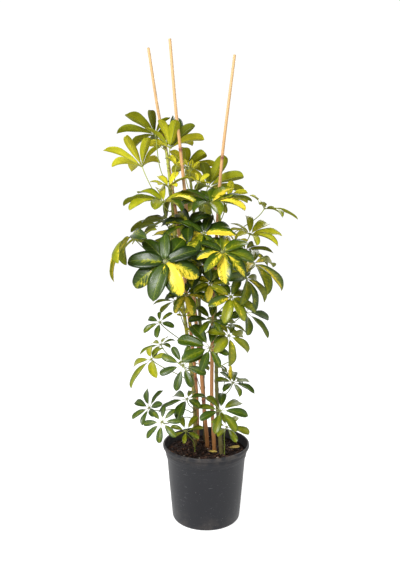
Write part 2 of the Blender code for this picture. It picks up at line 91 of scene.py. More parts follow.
class Paint:
    # One material or sky: the shader it has, and a way to add the nodes that feed it.
    def __init__(self, name, kind="materials", shader="Principled BSDF", **constants):
        self.owner = getattr(bpy.data, kind).new(name)
        self.owner.use_nodes = True
        self.tree = self.owner.node_tree
        self.shader = self.tree.nodes[shader]
        for key, value in constants.items():
            self.shader.inputs[key.replace("_", " ")].default_value = value

    def node(self, kind, settings, inputs, output=0):
        made = self.tree.nodes.new(kind)
        for key, value in settings.items():
            if key == "stops":
                self.fillRamp(made.color_ramp, value)
            else:
                setattr(made, key, value)
        for key, value in inputs.items():
            if isinstance(value, Field):
                self.tree.links.new(value.socket, made.inputs[key])
            else:
                made.inputs[key].default_value = value
        return Field(self, made.outputs[output])

    def fillRamp(self, ramp, stops):
        while len(ramp.elements) < len(stops):
            ramp.elements.new(0.5)
        for element, (place, color) in zip(ramp.elements, stops):
            element.position = place
            element.color = (*color, 1)

    def ramp(self, factor, *stops):
        return self.node("ShaderNodeValToRGB", {"stops": stops}, {0: factor})

    def mix(self, factor, first, second):
        # The numbers are the places of the colour sockets, whose names the node uses for others too
        first, second = ((*c, 1) if isinstance(c, tuple) else c for c in (first, second))
        return self.node("ShaderNodeMix", {"data_type": "RGBA"}, {0: factor, 6: first, 7: second}, 2)

    def place(self):
        return self.node("ShaderNodeTexCoord", {}, {}, "Object")

    def uv(self, name):
        # X runs along a piece, and Y across it or round it
        return self.axis(self.node("ShaderNodeUVMap", {"uv_map": "UVMap"}, {}), name)

    def mapped(self, vector, scale):
        return self.node("ShaderNodeMapping", {}, {"Vector": vector, "Scale": scale})

    def noise(self, vector, scale, detail=3.0, roughness=0.55):
        inputs = {"Vector": vector, "Scale": scale, "Detail": detail, "Roughness": roughness}
        return self.node("ShaderNodeTexNoise", {}, inputs)

    def axis(self, vector, name):
        return self.node("ShaderNodeSeparateXYZ", {}, {0: vector}, name)

    def vector(self, x, y, z):
        return self.node("ShaderNodeCombineXYZ", {}, {0: x, 1: y, 2: z})

    def value(self, name):
        return self.node("ShaderNodeAttribute", {"attribute_name": name}, {}, "Fac")

    def feed(self, name, field):
        self.tree.links.new(field.socket, self.shader.inputs[name])

    def bump(self, height, distance, strength):
        inputs = {"Height": height, "Distance": distance, "Strength": strength}
        self.feed("Normal", self.node("ShaderNodeBump", {}, inputs))


# Shared tools

sharpAngle = radians(50)
mergeWithin = 0.00002


def asMesh(name, bm):
    mesh = bpy.data.meshes.new(name)
    bm.to_mesh(mesh)
    bm.free()
    return mesh


def addPiece(name, bm, finishes, slot, *nodes):
    mesh = asMesh(name, bm)
    for finish in finishes:
        mesh.materials.append(finish)
    mesh.shade_smooth()
    piece = bpy.data.objects.new(name, mesh)
    bpy.context.scene.collection.objects.link(piece)
    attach(piece, "root")
    if nodes:
        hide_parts(*nodes)
    return piece


def smoothRoute(points, stepsEach):
    # Catmull-Rom points through a route
    points = [Vector(p) for p in points]
    ends = [2 * points[0] - points[1]] + points + [2 * points[-1] - points[-2]]
    route = []
    for a, b, c, d in zip(ends, ends[1:], ends[2:], ends[3:]):
        for step in range(stepsEach):
            t = step / stepsEach
            route.append(0.5 * (2 * b + (c - a) * t + (2 * a - 5 * b + 4 * c - d) * t ** 2
                                + (3 * b - a - 3 * c + d) * t ** 3))
    return route + [points[-1]]


def radiusAt(radii, route, z):
    share = (z - route[0].z) / (route[-1].z - route[0].z)
    return radii[0] + (radii[1] - radii[0]) * share


def pointAt(route, z):
    for low, high in zip(route, route[1:]):
        if z <= high.z:
            break
    share = (z - low.z) / (high.z - low.z)
    return low.lerp(high, share), (high - low).normalized()


def spun(bm, profile, segments):
    # A closed solid turned round Z from a profile of (radius, height) that starts and ends on the axis
    chain = [bm.verts.new((r, 0, z)) for r, z in profile]
    edges = [bm.edges.new(pair) for pair in zip(chain, chain[1:])]
    bmesh.ops.spin(bm, geom=chain + edges, cent=(0, 0, 0), axis=(0, 0, 1), angle=2 * pi, steps=segments,
                   use_merge=True)
    bmesh.ops.remove_doubles(bm, verts=bm.verts, dist=0.00001)
    bmesh.ops.recalc_face_normals(bm, faces=bm.faces)


templates = {}


def tubeTemplate(sides, steps):
    # A capped cylinder in rings, its UVs running along it and round it
    if (sides, steps) in templates:
        return templates[sides, steps]
    bm = bmesh.new()
    uvs = bm.loops.layers.uv.new("UVMap")
    bmesh.ops.create_cone(bm, cap_ends=True, segments=sides, radius1=1, radius2=1, depth=1)
    upright = [e for e in bm.edges if abs(e.verts[0].co.z - e.verts[1].co.z) > 0.5]
    bmesh.ops.subdivide_edges(bm, edges=upright, cuts=steps - 1, use_grid_fill=True)
    for face in bm.faces:
        turns = [(pi + Vector((0, 1)).angle_signed(loop.vert.co.xy)) / (2 * pi) for loop in face.loops]
        for loop, turn in zip(face.loops, turns):
            if max(turns) - turn > 0.5:
                turn += 1
            loop[uvs].uv = (loop.vert.co.z + 0.5, turn)
    templates[sides, steps] = asMesh("tube_template", bm)
    return templates[sides, steps]


def stamp(bm, template, finish=None):
    # Adds a copy of a template to a mesh that has only gained parts, and returns the copy's vertices
    firstVertex, firstFace = len(bm.verts), len(bm.faces)
    bm.from_mesh(template)
    bm.verts.ensure_lookup_table()
    bm.faces.ensure_lookup_table()
    if finish is not None:
        for face in bm.faces[firstFace:]:
            face.material_index = finish
    return bm.verts[firstVertex:]


def sweep(bm, path, radii, sides, finish=0):
    # A tube along a path, its rings turned no more than the path turns
    steps = len(path) - 1
    heading = (path[1] - path[0]).normalized()
    side = heading.orthogonal().normalized()
    rings = []
    for i, place in enumerate(path):
        onward = (path[min(i + 1, steps)] - path[max(i - 1, 0)]).normalized()
        side = heading.rotation_difference(onward) @ side
        heading = onward
        rings.append((place, side, heading.cross(side), radii[i]))
    made = stamp(bm, tubeTemplate(sides, steps), finish)
    for v in made:
        place, side, beside, radius = rings[round((v.co.z + 0.5) * steps)]
        v.co = place + (side * v.co.x + beside * v.co.y) * radius
    return made


# Finishes

bladeColors = {
    "lime": (0.560, 0.500, 0.022),
    "fresh": (0.205, 0.215, 0.003),
    "mature": (0.034, 0.066, 0.001),
    "dark": (0.005, 0.015, 0.001),
    "gold": (0.54, 0.390, 0.008),
    "goldPale": (0.60, 0.500, 0.045),
    "vein": (0.20, 0.24, 0.010),
}
veinPairs = 9


veinSlant = 0.17            # how far a side vein runs on from midrib to margin


def bladePaint(name, underside):
    # A leaflet: u runs from its stalk to its tip and v across it. Attributes, one value for each
    # leaflet: seed, gold (how far it is variegated), side (which half has more), shade (age).
    roughness = 0.62 if underside else 0.36
    paint = Paint(name, Roughness=roughness, Specular_IOR_Level=0.12 if underside else 0.24,
                  Coat_Roughness=0.20, Coat_Weight=0.0 if underside else 0.07)
    along, over = paint.uv("X"), paint.uv("Y")
    seed, gold, side, shade = (paint.value(n) for n in ("seed", "gold", "side", "shade"))
    half = (over - 0.5) * 2
    across = half.size()
    spot = paint.vector(along * 5.0, half * 1.1, seed * 40)
    blotch = paint.noise(spot, 1.0, 4.0, 0.62)
    streak = paint.noise(paint.vector((along - across * veinSlant) * 22, half * 1.6, seed * 40), 1.0, 2.0)
    mottle = paint.noise(paint.vector(along * 9, half * 3, seed * 90), 1.0, 3.0)

    # Veins: a midrib, and pairs that leave it at a slant and fade towards the margin
    slanted = ((along - across * veinSlant) * veinPairs + streak * 0.25).fraction()
    lateral = 1 - ((slanted - 0.5).size() * 2).above(0.12, 0.14)
    lateral = lateral * (1.05 - across).clamped() * 0.8
    midrib = 1 - across.above(0.055, 0.05)
    veins = (lateral * 0.5 + midrib).clamped()

    age = (shade + (mottle - 0.5) * 0.30 + (blotch - 0.5) * 0.20 + (across - 0.4) * 0.16
           - lateral * 0.05)
    green = paint.ramp(age, (0.0, bladeColors["lime"]), (0.34, bladeColors["fresh"]),
                       (0.66, bladeColors["mature"]), (1.0, bladeColors["dark"]))
    edge = (gold * 1.35 - 0.42 + (blotch - 0.5) * 1.3 + (streak - 0.5) * 1.1 + side * half * 0.75
            - across * 0.75 - (along - 0.4) * 0.35)
    patch = edge.above(0.30, 0.07)
    halfTone = edge.above(0.02, 0.10) * gold.above(0.12, 0.1)
    green = paint.mix(halfTone * 0.75, green, bladeColors["fresh"])
    yellow = paint.mix(mottle, bladeColors["gold"], bladeColors["goldPale"])
    color = paint.mix(patch * gold.above(0.05, 0.05), green, yellow)
    color = paint.mix(veins * (0.60 if underside else 0.30), color, bladeColors["vein"])
    if underside:
        color = paint.mix(0.30, color, (0.27, 0.27, 0.010))
    paint.feed("Base Color", color)
    if not underside:
        paint.feed("Roughness", 0.30 + mottle * 0.12 + patch * 0.08)
    relief = (lateral * (1.0 if underside else -0.8) + midrib * (1.4 if underside else -1.0)
              + (mottle - 0.5) * 0.8)
    paint.bump(relief, 0.0005, 0.7)
    return paint.owner


def leafStalkPaint():
    # Petioles and midribs: green, or pale where a leaf's are, and brown at the foot
    paint = Paint("leaf_stalk", Specular_IOR_Level=0.5)
    along = paint.uv("X")
    shade = paint.value("shade")
    place = paint.place()
    mottle = paint.noise(place, 260.0, 3.0)
    tone = paint.ramp(shade + (mottle - 0.5) * 0.2, (0.0, (0.30, 0.33, 0.04)), (0.5, (0.150, 0.190, 0.022)),
                      (1.0, (0.060, 0.095, 0.012)))
    tone = paint.mix(paint.value("pale") * 0.8, tone, (0.40, 0.44, 0.17))
    foot = 1 - along.above(0.06, 0.10)
    paint.feed("Base Color", paint.mix(foot * 0.55, tone, (0.16, 0.15, 0.045)))
    paint.feed("Roughness", 0.38 + mottle * 0.2)
    paint.bump(mottle, 0.0003, 0.6)
    return paint.owner


def dryBladePaint(name, color, worn):
    paint = Paint(name, Roughness=0.7)
    along, over = paint.uv("X"), paint.uv("Y")
    across = ((over - 0.5) * 2).size()
    mottle = paint.noise(paint.vector(along * 6, across * 3, 4.0), 1.0, 5.0, 0.65)
    slanted = ((along - across * veinSlant) * veinPairs).fraction()
    lateral = 1 - ((slanted - 0.5).size() * 2).above(0.12, 0.14)
    midrib = 1 - across.above(0.06, 0.05)
    tone = paint.mix(mottle.above(0.52, 0.25), color, worn)
    paint.feed("Base Color", paint.mix((lateral * 0.3 + midrib * 0.7).clamped(), tone, (0.36, 0.24, 0.09)))
    paint.bump(mottle * 1.2 + lateral * 0.5 + midrib, 0.0008, 0.9)
    return paint.owner


# Routes of the canes and stems, foot first, and the radii at their two ends

caneRoutes = {
    "cane_left": (
        (-0.021, 0.081, 0.045), (-0.024, 0.076, 0.187), (-0.026, 0.072, 0.310), (-0.036, 0.068, 0.440),
        (-0.050, 0.065, 0.575), (-0.075, 0.060, 0.785), (-0.109, 0.055, 1.015), (-0.130, 0.053, 1.120),
        (-0.154, 0.050, 1.280),
    ),
    "cane_middle": (
        (0.008, 0.026, 0.045), (0.004, 0.024, 0.187), (-0.006, 0.019, 0.310), (-0.018, 0.012, 0.456),
        (-0.031, 0.005, 0.583), (-0.054, -0.012, 0.866), (-0.069, -0.020, 1.020),
        (-0.079, -0.025, 1.110), (-0.093, -0.030, 1.281),
    ),
    "cane_right": (
        (0.027, 0.000, 0.045), (0.023, 0.002, 0.187), (0.016, 0.007, 0.320), (0.016, 0.010, 0.430),
        (0.020, 0.014, 0.600), (0.031, 0.020, 0.840), (0.043, 0.025, 1.000), (0.074, 0.030, 1.257),
    ),
}
caneRadii = (0.0057, 0.0038)
stemRoutes = {
    "stem_left": (
        (-0.031, 0.032, 0.120), (-0.031, 0.031, 0.187), (-0.033, 0.024, 0.330), (-0.054, 0.020, 0.520),
        (-0.066, 0.018, 0.611), (-0.083, 0.022, 0.773), (-0.096, 0.027, 0.906), (-0.107, 0.034, 1.008),
    ),
    "stem_middle": (
        (0.000, 0.061, 0.120), (-0.001, 0.060, 0.187), (-0.008, 0.058, 0.350), (-0.016, 0.054, 0.520),
        (-0.024, 0.050, 0.700), (-0.034, 0.045, 0.850), (-0.045, 0.040, 0.952),
    ),
    "stem_right": (
        (0.044, -0.027, 0.120), (0.042, -0.026, 0.187), (0.030, -0.022, 0.335), (0.027, -0.016, 0.450),
        (0.024, -0.010, 0.540), (0.026, -0.008, 0.616), (0.031, -0.012, 0.700), (0.037, -0.016, 0.775),
        (0.033, -0.012, 0.862),
    ),
}
stemRadii = (0.0062, 0.0033)
routeSteps = 2              # as coarse as the plain solids', which the petioles start from
fineRouteSteps = 12
routes = {}
for names, radii in ((caneRoutes, caneRadii), (stemRoutes, stemRadii)):
    for name, points in names.items():
        routes[name] = (smoothRoute(points, routeSteps), radii)


# Leaves

hubRadius = 0.003
petioleRadius = 0.0014
collarLength = 0.004        # the petiole's swelling under the hub
petioleFoot = 0.006         # straight start of a petiole, square to the stem
plantingGap = 0.0003        # between pieces that touch
soilLevel = 0.187
shootFeet = {"shoot_left": (-0.031, -0.014), "shoot_right": (0.050, -0.034)}

# One row for each leaf. seat and height: the stem that carries it and where. hub: where its
# leaflets meet. face and tilt: the compass angle it leans to and how far, in degrees.
# spin: direction of its longest leaflet. taper: how much shorter the opposite leaflet is.
# lift and bend: a leaflet's rise at the hub and how far it curls over along its length.
Leaf = namedtuple("Leaf", "name seat height hub face tilt spin count length taper lift bend")
leaves = [Leaf(*row) for row in (
    ("hero_left", "stem_left", 0.690, (-0.101, -0.150, 0.729), -100, 60, -105, 9, 0.107, 0.30, 6, 26),
    ("hero_right", "stem_right", 0.690, (0.038, -0.145, 0.752), -80, 44, -45, 9, 0.088, 0.30, 10, 34),
    ("star_left", "stem_left", 0.400, (-0.060, -0.130, 0.465), -95, 62, -110, 8, 0.067, 0.24, 14, 22),
    ("star_middle", "stem_right", 0.450, (0.008, -0.115, 0.506), -85, 52, 165, 8, 0.088, 0.42, 10, 30),
    ("star_low", "stem_left", 0.270, (-0.114, -0.130, 0.316), -110, 55, -92, 8, 0.056, 0.30, 12, 28),
    ("crown_left", "stem_left", 0.930, (-0.136, 0.020, 1.053), 115, 30, 178, 8, 0.106, 0.50, 30, 26),
    ("crown_tip", "stem_left", 0.965, (-0.095, -0.010, 1.015), 70, 30, 60, 8, 0.104, 0.28, 50, 30),
    ("crown_reach", "stem_left", 0.850, (-0.171, 0.010, 0.969), 125, 34, 150, 7, 0.110, 0.32, 44, 28),
    ("crown_skirt", "stem_left", 0.780, (-0.110, -0.050, 0.873), -90, 14, 180, 9, 0.106, 0.16, 24, 46),
    ("crown_inner", "stem_left", 0.850, (-0.099, -0.022, 0.914), -90, 20, 60, 6, 0.060, 0.20, 35, 25),
    ("middle_top", "stem_middle", 0.880, (-0.055, 0.075, 0.970), 60, 34, 40, 8, 0.092, 0.30, 30, 28),
    ("right_crown", "stem_middle", 0.830, (0.005, 0.060, 0.917), 60, 36, 25, 8, 0.112, 0.36, 34, 28),
    ("right_shoulder", "stem_right", 0.800, (0.011, -0.055, 0.871), -85, 20, 10, 8, 0.104, 0.24, 22, 36),
    ("right_nook", "stem_right", 0.828, (0.060, 0.045, 0.884), 50, 24, 30, 6, 0.064, 0.25, 34, 30),
    ("right_reach_high", "stem_right", 0.770, (0.159, 0.040, 0.858), 0, 30, -8, 7, 0.094, 0.42, 26, 34),
    ("right_reach", "stem_right", 0.710, (0.115, -0.020, 0.790), -60, 28, 8, 8, 0.090, 0.38, 26, 36),
    ("heart_top", "stem_middle", 0.720, (-0.007, -0.090, 0.795), -90, 46, -65, 8, 0.092, 0.32, 14, 32),
    ("heart_left", "stem_left", 0.740, (-0.045, -0.075, 0.815), -125, 30, 160, 7, 0.080, 0.26, 20, 34),
    ("heart_deep", "stem_middle", 0.640, (-0.017, -0.040, 0.712), -90, 42, 250, 7, 0.080, 0.25, 12, 34),
    ("heart_low", "stem_right", 0.600, (0.010, -0.085, 0.668), -90, 50, -100, 7, 0.054, 0.20, 14, 36),
    ("left_cascade", "stem_left", 0.650, (-0.190, -0.095, 0.788), 180, 46, 184, 7, 0.128, 0.46, 4, 40),
    ("left_dark", "stem_left", 0.730, (-0.113, 0.080, 0.825), 150, 24, 180, 8, 0.102, 0.38, 12, 28),
    ("left_spray", "stem_left", 0.700, (-0.170, 0.060, 0.783), 180, 30, 200, 6, 0.062, 0.25, 20, 34),
    ("right_fold", "stem_right", 0.630, (0.102, -0.070, 0.679), -30, 54, -50, 8, 0.094, 0.42, 8, 44),
    ("right_sweep", "stem_right", 0.650, (0.126, -0.005, 0.712), -50, 42, -18, 7, 0.116, 0.46, 12, 40),
    ("right_behind", "stem_right", 0.675, (0.112, 0.085, 0.742), 50, 34, 30, 7, 0.082, 0.30, 20, 34),
    ("right_drape", "stem_right", 0.570, (0.061, -0.105, 0.635), -70, 46, -60, 8, 0.076, 0.26, 12, 40),
    ("left_low", "stem_left", 0.570, (-0.053, -0.085, 0.639), -95, 40, -70, 7, 0.066, 0.28, 14, 44),
    ("left_low_back", "stem_left", 0.530, (-0.088, 0.075, 0.598), 130, 36, 200, 6, 0.062, 0.25, 18, 36),
    ("star_right", "stem_right", 0.520, (0.104, -0.050, 0.587), -40, 44, -35, 7, 0.088, 0.45, 14, 34),
    ("wisp_left_high", "stem_left", 0.490, (-0.124, -0.030, 0.556), -120, 44, -90, 6, 0.052, 0.30, 18, 30),
    ("wisp_left", "stem_left", 0.410, (-0.126, 0.030, 0.482), -140, 24, 190, 6, 0.064, 0.40, 14, 34),
    ("wisp_left_low", "stem_left", 0.380, (-0.145, -0.070, 0.465), -150, 46, -140, 6, 0.090, 0.52, 12, 34),
    ("middle_small", "stem_middle", 0.490, (0.012, -0.085, 0.572), -90, 32, 185, 7, 0.060, 0.26, 20, 32),
    ("right_droop", "stem_right", 0.470, (0.058, -0.085, 0.531), -60, 54, -80, 7, 0.082, 0.46, 8, 48),
    ("right_low", "stem_right", 0.340, (0.070, -0.062, 0.400), -60, 22, -20, 7, 0.060, 0.26, 16, 36),
    ("right_base", "stem_right", 0.270, (0.036, -0.095, 0.334), -80, 32, -10, 8, 0.074, 0.20, 16, 38),
    ("left_low_tuft", "stem_left", 0.290, (-0.154, -0.045, 0.325), -140, 50, 95, 7, 0.062, 0.26, 18, 26),
    ("left_strap", "stem_left", 0.300, (-0.052, -0.055, 0.353), -125, 18, 190, 6, 0.082, 0.42, 10, 38),
    ("middle_low", "stem_middle", 0.330, (-0.030, 0.105, 0.408), 80, 40, 45, 6, 0.060, 0.25, 20, 34),
    ("right_inner_low", "stem_right", 0.330, (0.062, 0.020, 0.400), 20, 44, 10, 7, 0.052, 0.20, 18, 32),
    ("shoot_left", "soil", 0, (-0.055, -0.050, 0.262), -90, 34, 60, 7, 0.052, 0.26, 22, 28),
    ("shoot_right", "soil", 0, (0.054, -0.072, 0.281), -60, 34, -10, 6, 0.060, 0.30, 20, 30),
    ("back_high", "stem_middle", 0.800, (-0.010, 0.160, 0.880), 80, 34, 80, 8, 0.100, 0.30, 18, 34),
    ("back_left", "stem_middle", 0.700, (-0.085, 0.165, 0.775), 110, 40, 120, 8, 0.096, 0.30, 14, 36),
    ("back_right", "stem_middle", 0.620, (0.050, 0.165, 0.715), 65, 44, 60, 8, 0.100, 0.32, 12, 36),
    ("back_low", "stem_middle", 0.520, (-0.040, 0.170, 0.610), 95, 46, 90, 8, 0.086, 0.28, 12, 36),
    ("back_shade", "stem_middle", 0.430, (0.050, 0.130, 0.520), 60, 42, 50, 7, 0.076, 0.28, 14, 34),
)]

# How each leaf looks. shade runs from 0, young and lime, to 1, old and dark; spread is how far its
# leaflets differ. gold is how far they are variegated, most of all towards an angle. width is the
# half width over the length, stalk the bare share of the length, base how slowly it widens, tip how
# pointed it is, fold the degrees that each half rises from the midrib, and pale how pale its stalks are.
Look = namedtuple("Look", "shade spread gold toward width stalk base tip fold pale")
plainLook = Look(0.70, 0.14, 0.0, 0, 0.190, 0.13, 0.80, 0.46, 16, 0.25)
looks = {name: Look(*row) for name, row in {
    "hero_left": (0.84, 0.10, 0.42, -50, 0.245, 0.015, 0.52, 0.44, 9, 0.00),
    "hero_right": (0.72, 0.14, 0.46, -80, 0.225, 0.02, 0.55, 0.48, 14, 0.00),
    "star_left": (0.70, 0.10, 0.00, 0, 0.165, 0.20, 0.80, 0.48, 12, 1.00),
    "star_middle": (0.68, 0.12, 0.00, 0, 0.185, 0.14, 0.75, 0.46, 14, 0.50),
    "star_low": (0.70, 0.10, 0.00, 0, 0.165, 0.20, 0.80, 0.46, 12, 1.00),
    "crown_left": (0.36, 0.30, 0.00, 0, 0.195, 0.03, 0.90, 0.48, 32, 0.00),
    "crown_tip": (0.22, 0.24, 0.00, 0, 0.205, 0.03, 0.85, 0.46, 24, 0.00),
    "crown_reach": (0.18, 0.20, 0.00, 0, 0.185, 0.03, 0.95, 0.46, 36, 0.00),
    "crown_skirt": (0.36, 0.18, 0.34, 0, 0.18, 0.04, 0.80, 0.50, 30, 0.00),
    "crown_inner": (0.16, 0.10, 0.00, 0, 0.22, 0.06, 0.80, 0.48, 24, 0.00),
    "middle_top": (0.26, 0.20, 0.10, 0, 0.215, 0.04, 0.85, 0.46, 26, 0.00),
    "right_crown": (0.36, 0.22, 0.14, 30, 0.205, 0.04, 0.90, 0.46, 28, 0.00),
    "right_shoulder": (0.56, 0.24, 0.38, 0, 0.205, 0.03, 0.75, 0.50, 26, 0.00),
    "right_nook": (0.22, 0.12, 0.10, 0, 0.21, 0.06, 0.80, 0.48, 26, 0.00),
    "right_reach_high": (0.38, 0.14, 0.10, 0, 0.165, 0.05, 0.80, 0.54, 24, 0.00),
    "right_reach": (0.30, 0.16, 0.18, 0, 0.18, 0.05, 0.80, 0.50, 28, 0.00),
    "heart_top": (0.80, 0.16, 0.44, 20, 0.215, 0.02, 0.60, 0.54, 20, 0.00),
    "heart_left": (0.90, 0.08, 0.16, 160, 0.235, 0.02, 0.60, 0.50, 22, 0.00),
    "heart_deep": (0.88, 0.08, 0.38, -90, 0.235, 0.02, 0.60, 0.48, 20, 0.00),
    "heart_low": (0.60, 0.14, 0.52, -90, 0.22, 0.04, 0.65, 0.50, 18, 0.00),
    "left_cascade": (0.76, 0.14, 0.46, -120, 0.165, 0.04, 0.75, 0.58, 28, 0.00),
    "left_dark": (0.90, 0.08, 0.12, 180, 0.20, 0.04, 0.75, 0.52, 24, 0.00),
    "left_spray": (0.46, 0.16, 0.10, 180, 0.18, 0.08, 0.75, 0.52, 22, 0.00),
    "right_fold": (0.62, 0.16, 0.22, -90, 0.185, 0.04, 0.75, 0.54, 30, 0.00),
    "right_sweep": (0.46, 0.16, 0.38, -40, 0.18, 0.04, 0.80, 0.56, 30, 0.00),
    "right_behind": (0.72, 0.14, 0.16, 0, 0.195, 0.06, 0.75, 0.52, 24, 0.00),
    "right_drape": (0.58, 0.16, 0.34, -110, 0.205, 0.05, 0.70, 0.50, 18, 0.00),
    "left_low": (0.66, 0.12, 0.34, -90, 0.20, 0.06, 0.70, 0.50, 20, 0.00),
    "wisp_left_low": (0.34, 0.16, 0.10, -140, 0.165, 0.12, 0.75, 0.52, 18, 0.3),
    "wisp_left": (0.50, 0.14, 0.0, 0, 0.180, 0.13, 0.75, 0.50, 18, 0.3),
    "star_right": (0.70, 0.12, 0.00, 0, 0.17, 0.16, 0.80, 0.50, 16, 1.00),
    "right_droop": (0.50, 0.14, 0.34, -90, 0.185, 0.10, 0.75, 0.50, 20, 0.20),
    "right_base": (0.62, 0.10, 0.00, 0, 0.18, 0.15, 0.80, 0.46, 16, 0.70),
    "back_high": (0.70, 0.16, 0.36, 90, 0.215, 0.03, 0.60, 0.50, 20, 0.00),
    "back_left": (0.76, 0.14, 0.40, 120, 0.22, 0.03, 0.60, 0.50, 18, 0.00),
    "back_right": (0.72, 0.14, 0.42, 40, 0.22, 0.03, 0.60, 0.50, 18, 0.00),
    "shoot_left": (0.50, 0.10, 0.00, 0, 0.175, 0.15, 0.80, 0.46, 16, 0.60),
    "shoot_right": (0.48, 0.10, 0.00, 0, 0.175, 0.15, 0.80, 0.46, 16, 0.60),
}.items()}
# How far each leaflet is variegated, for the leaves that are nearest the eye
leafletGolds = {
    "hero_left": (0.16, 0.92, 0.62, 0.0, 0.0, 0.0, 0.05, 0.28, 0.42),
    "hero_right": (0.66, 0.12, 0.32, 0.45, 0.36, 0.18, 0.74, 0.52, 0.80),
    "heart_top": (0.35, 0.90, 0.30, 0.10, 0.12, 0.20, 0.80, 0.45),
    "left_cascade": (0.95, 0.62, 0.30, 0.20, 0.20, 0.40, 0.45),
}
# Leaflets whose tone differs from the rest of their leaf, by their place in it
leafletShades = {
    "crown_left": {2: 0.97, 6: 0.70},
    "left_cascade": {0: 0.30, 1: 0.40},
    "crown_tip": {6: 0.74, 1: 0.80},
    "middle_top": {3: 0.60},
    "right_crown": {5: 0.80, 2: 0.66},
    "crown_skirt": {3: 0.72},
    "right_shoulder": {4: 0.88},
}
leafSlots = {name: "leaf_green" for name in (leaf.name for leaf in leaves)}
for name in ("crown_left", "crown_tip", "crown_reach", "crown_skirt", "crown_inner", "middle_top",
             "right_nook", "left_spray"):
    leafSlots[name] = "leaf_lime"
for name in ("hero_left", "hero_right", "heart_top", "heart_left", "heart_deep", "heart_low", "left_cascade",
             "left_dark", "right_fold", "right_sweep", "right_behind", "right_drape", "left_low",
             "right_crown", "right_shoulder", "right_reach_high", "right_reach", "right_droop", "back_high",
             "back_left", "back_right"):
    leafSlots[name] = "leaf_variegated"

# What a leaflet or a petiole may have been moved by in the plain solids, to be clear of the others
leafletMoves = sorted(
    ((lift, turn) for lift in (0, 14, -14, 28, -28, 42, -42, 56) for turn in (0, 7, -7, 14, -14)),
    key=lambda move: abs(move[0]) + 2 * abs(move[1]),
)
petioleSwings = (0, 0.02, -0.02, 0.04, -0.04, 0.06, -0.06)
foundWithin = 0.0012        # how near the plain solid's corners a leaflet's tip has to be
solidTipWidth = 0.05        # half width of the plain solid's leaflet tip, over its length

bladeBuild = {
    "steps": 12,
    "columns": 6,
    "thickness": 0.0006,
    "notch": 0.055,             # deepest notch in a tip, over the length
    "hubSwell": 1.12,           # radius over the plain hub's, with stalked leaflets and without
    "hubSwellSessile": 1.75,
    "wave": 0.07,               # height of the margin's waves over the half width
    "waveShift": 1.9,           # phase of one margin's waves from the other's
    "tipDroop": 0.045,
    "ribSides": 5,
    "ribSteps": 8,
    "ribRadii": (0.00090, 0.00025),
    "ribReach": 0.93,
    "petioleSides": 8,
    "petioleSteps": 18,
}


def leafAxes(leaf):
    tilt, face = radians(leaf.tilt), radians(leaf.face)
    normal = Vector((sin(tilt) * cos(face), sin(tilt) * sin(face), cos(tilt)))
    right = (Vector((1, 0, 0)) - normal * normal.x).normalized()
    return normal, right, normal.cross(right)


def leafletPlan(leaf):
    # (angle, length, lift, twist) of each leaflet before it was moved clear
    chance = random.Random(leaf.name)
    plan = []
    for k in range(leaf.count):
        turn = 2 * pi * k / leaf.count
        shrink = 1 - leaf.taper * (1 - cos(turn)) / 2
        angle = radians(leaf.spin + chance.uniform(-5, 5)) + turn
        length = leaf.length * shrink * chance.uniform(0.93, 1.04)
        lift = radians(leaf.lift + chance.uniform(-7, 7))
        twist = radians(chance.uniform(-22, 22))
        plan.append((angle, length, lift, twist))
    return plan


def leafletAt(leaf, angle, length, lift, twist, share):
    # The midrib at a share of the length: its place, the way across the blade and the way it faces
    normal, right, up = leafAxes(leaf)
    outward = right * cos(angle) + up * sin(angle)
    bend = radians(leaf.bend)
    pitch = lift - bend * share
    run = (sin(lift) - sin(pitch)) / bend
    rise = (cos(pitch) - cos(lift)) / bend
    place = Vector(leaf.hub) + outward * (hubRadius + length * run) + normal * (length * rise)
    facing = normal * cos(pitch) - outward * sin(pitch)
    across = normal.cross(outward)
    turn = twist * share
    return place, across * cos(turn) + facing * sin(turn), facing * cos(turn) - across * sin(turn)


def petioleCurve(leaf, swing):
    # Foot, start, two handles and end of a petiole
    hub = Vector(leaf.hub)
    normal, _, _ = leafAxes(leaf)
    if leaf.seat == "soil":
        foot = Vector((*shootFeet[leaf.name], soilLevel + plantingGap))
        outward = Vector((0, 0, 1))
    else:
        route, radii = routes[leaf.seat]
        centre, along = pointAt(route, leaf.height)
        outward = hub - centre
        outward = (outward - along * outward.dot(along)).normalized()
        foot = centre + outward * (radiusAt(radii, route, leaf.height) + plantingGap)
    start = foot + outward * petioleFoot
    end = hub - normal * collarLength
    reach = (end - start).length
    sideways = outward.cross(normal)
    sideways = sideways.normalized() if sideways.length > 0.01 else Vector((1, 0, 0))
    first = start + outward * 0.25 * reach + Vector((0, 0, 0.25 * reach)) + sideways * swing
    last = end - normal * 0.30 * reach + sideways * swing
    return foot, start, first, last, end


def bezier(start, first, last, end, t):
    return start * (1 - t) ** 3 + first * 3 * t * (1 - t) ** 2 + last * 3 * t * t * (1 - t) + end * t ** 3


def solidCorners(node):
    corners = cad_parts[node].data.vertices
    tree = KDTree(len(corners))
    for i, corner in enumerate(corners):
        tree.insert(corner.co, i)
    tree.balance()
    return tree


def foundLeaflets(leaf, tree):
    # The leaflets as the plain solid has them: for each, the move whose tip lies on its corners
    found = []
    for angle, length, lift, twist in leafletPlan(leaf):
        best = None
        for liftMove, turnMove in leafletMoves:
            leaflet = (angle + radians(turnMove), length, lift + radians(liftMove), twist)
            place, across, _ = leafletAt(leaf, *leaflet, 1.0)
            reach = across * solidTipWidth * length
            miss = max(tree.find(place + reach)[2], tree.find(place - reach)[2])
            if best is None or miss < best[0]:
                best = (miss, leaflet)
        if best[0] < foundWithin:
            found.append(best[1])
        else:
            print(f"leaf {leaf.name}: a leaflet that the solid hasn't, {best[0] * 1000:.2f} mm off")
    return found


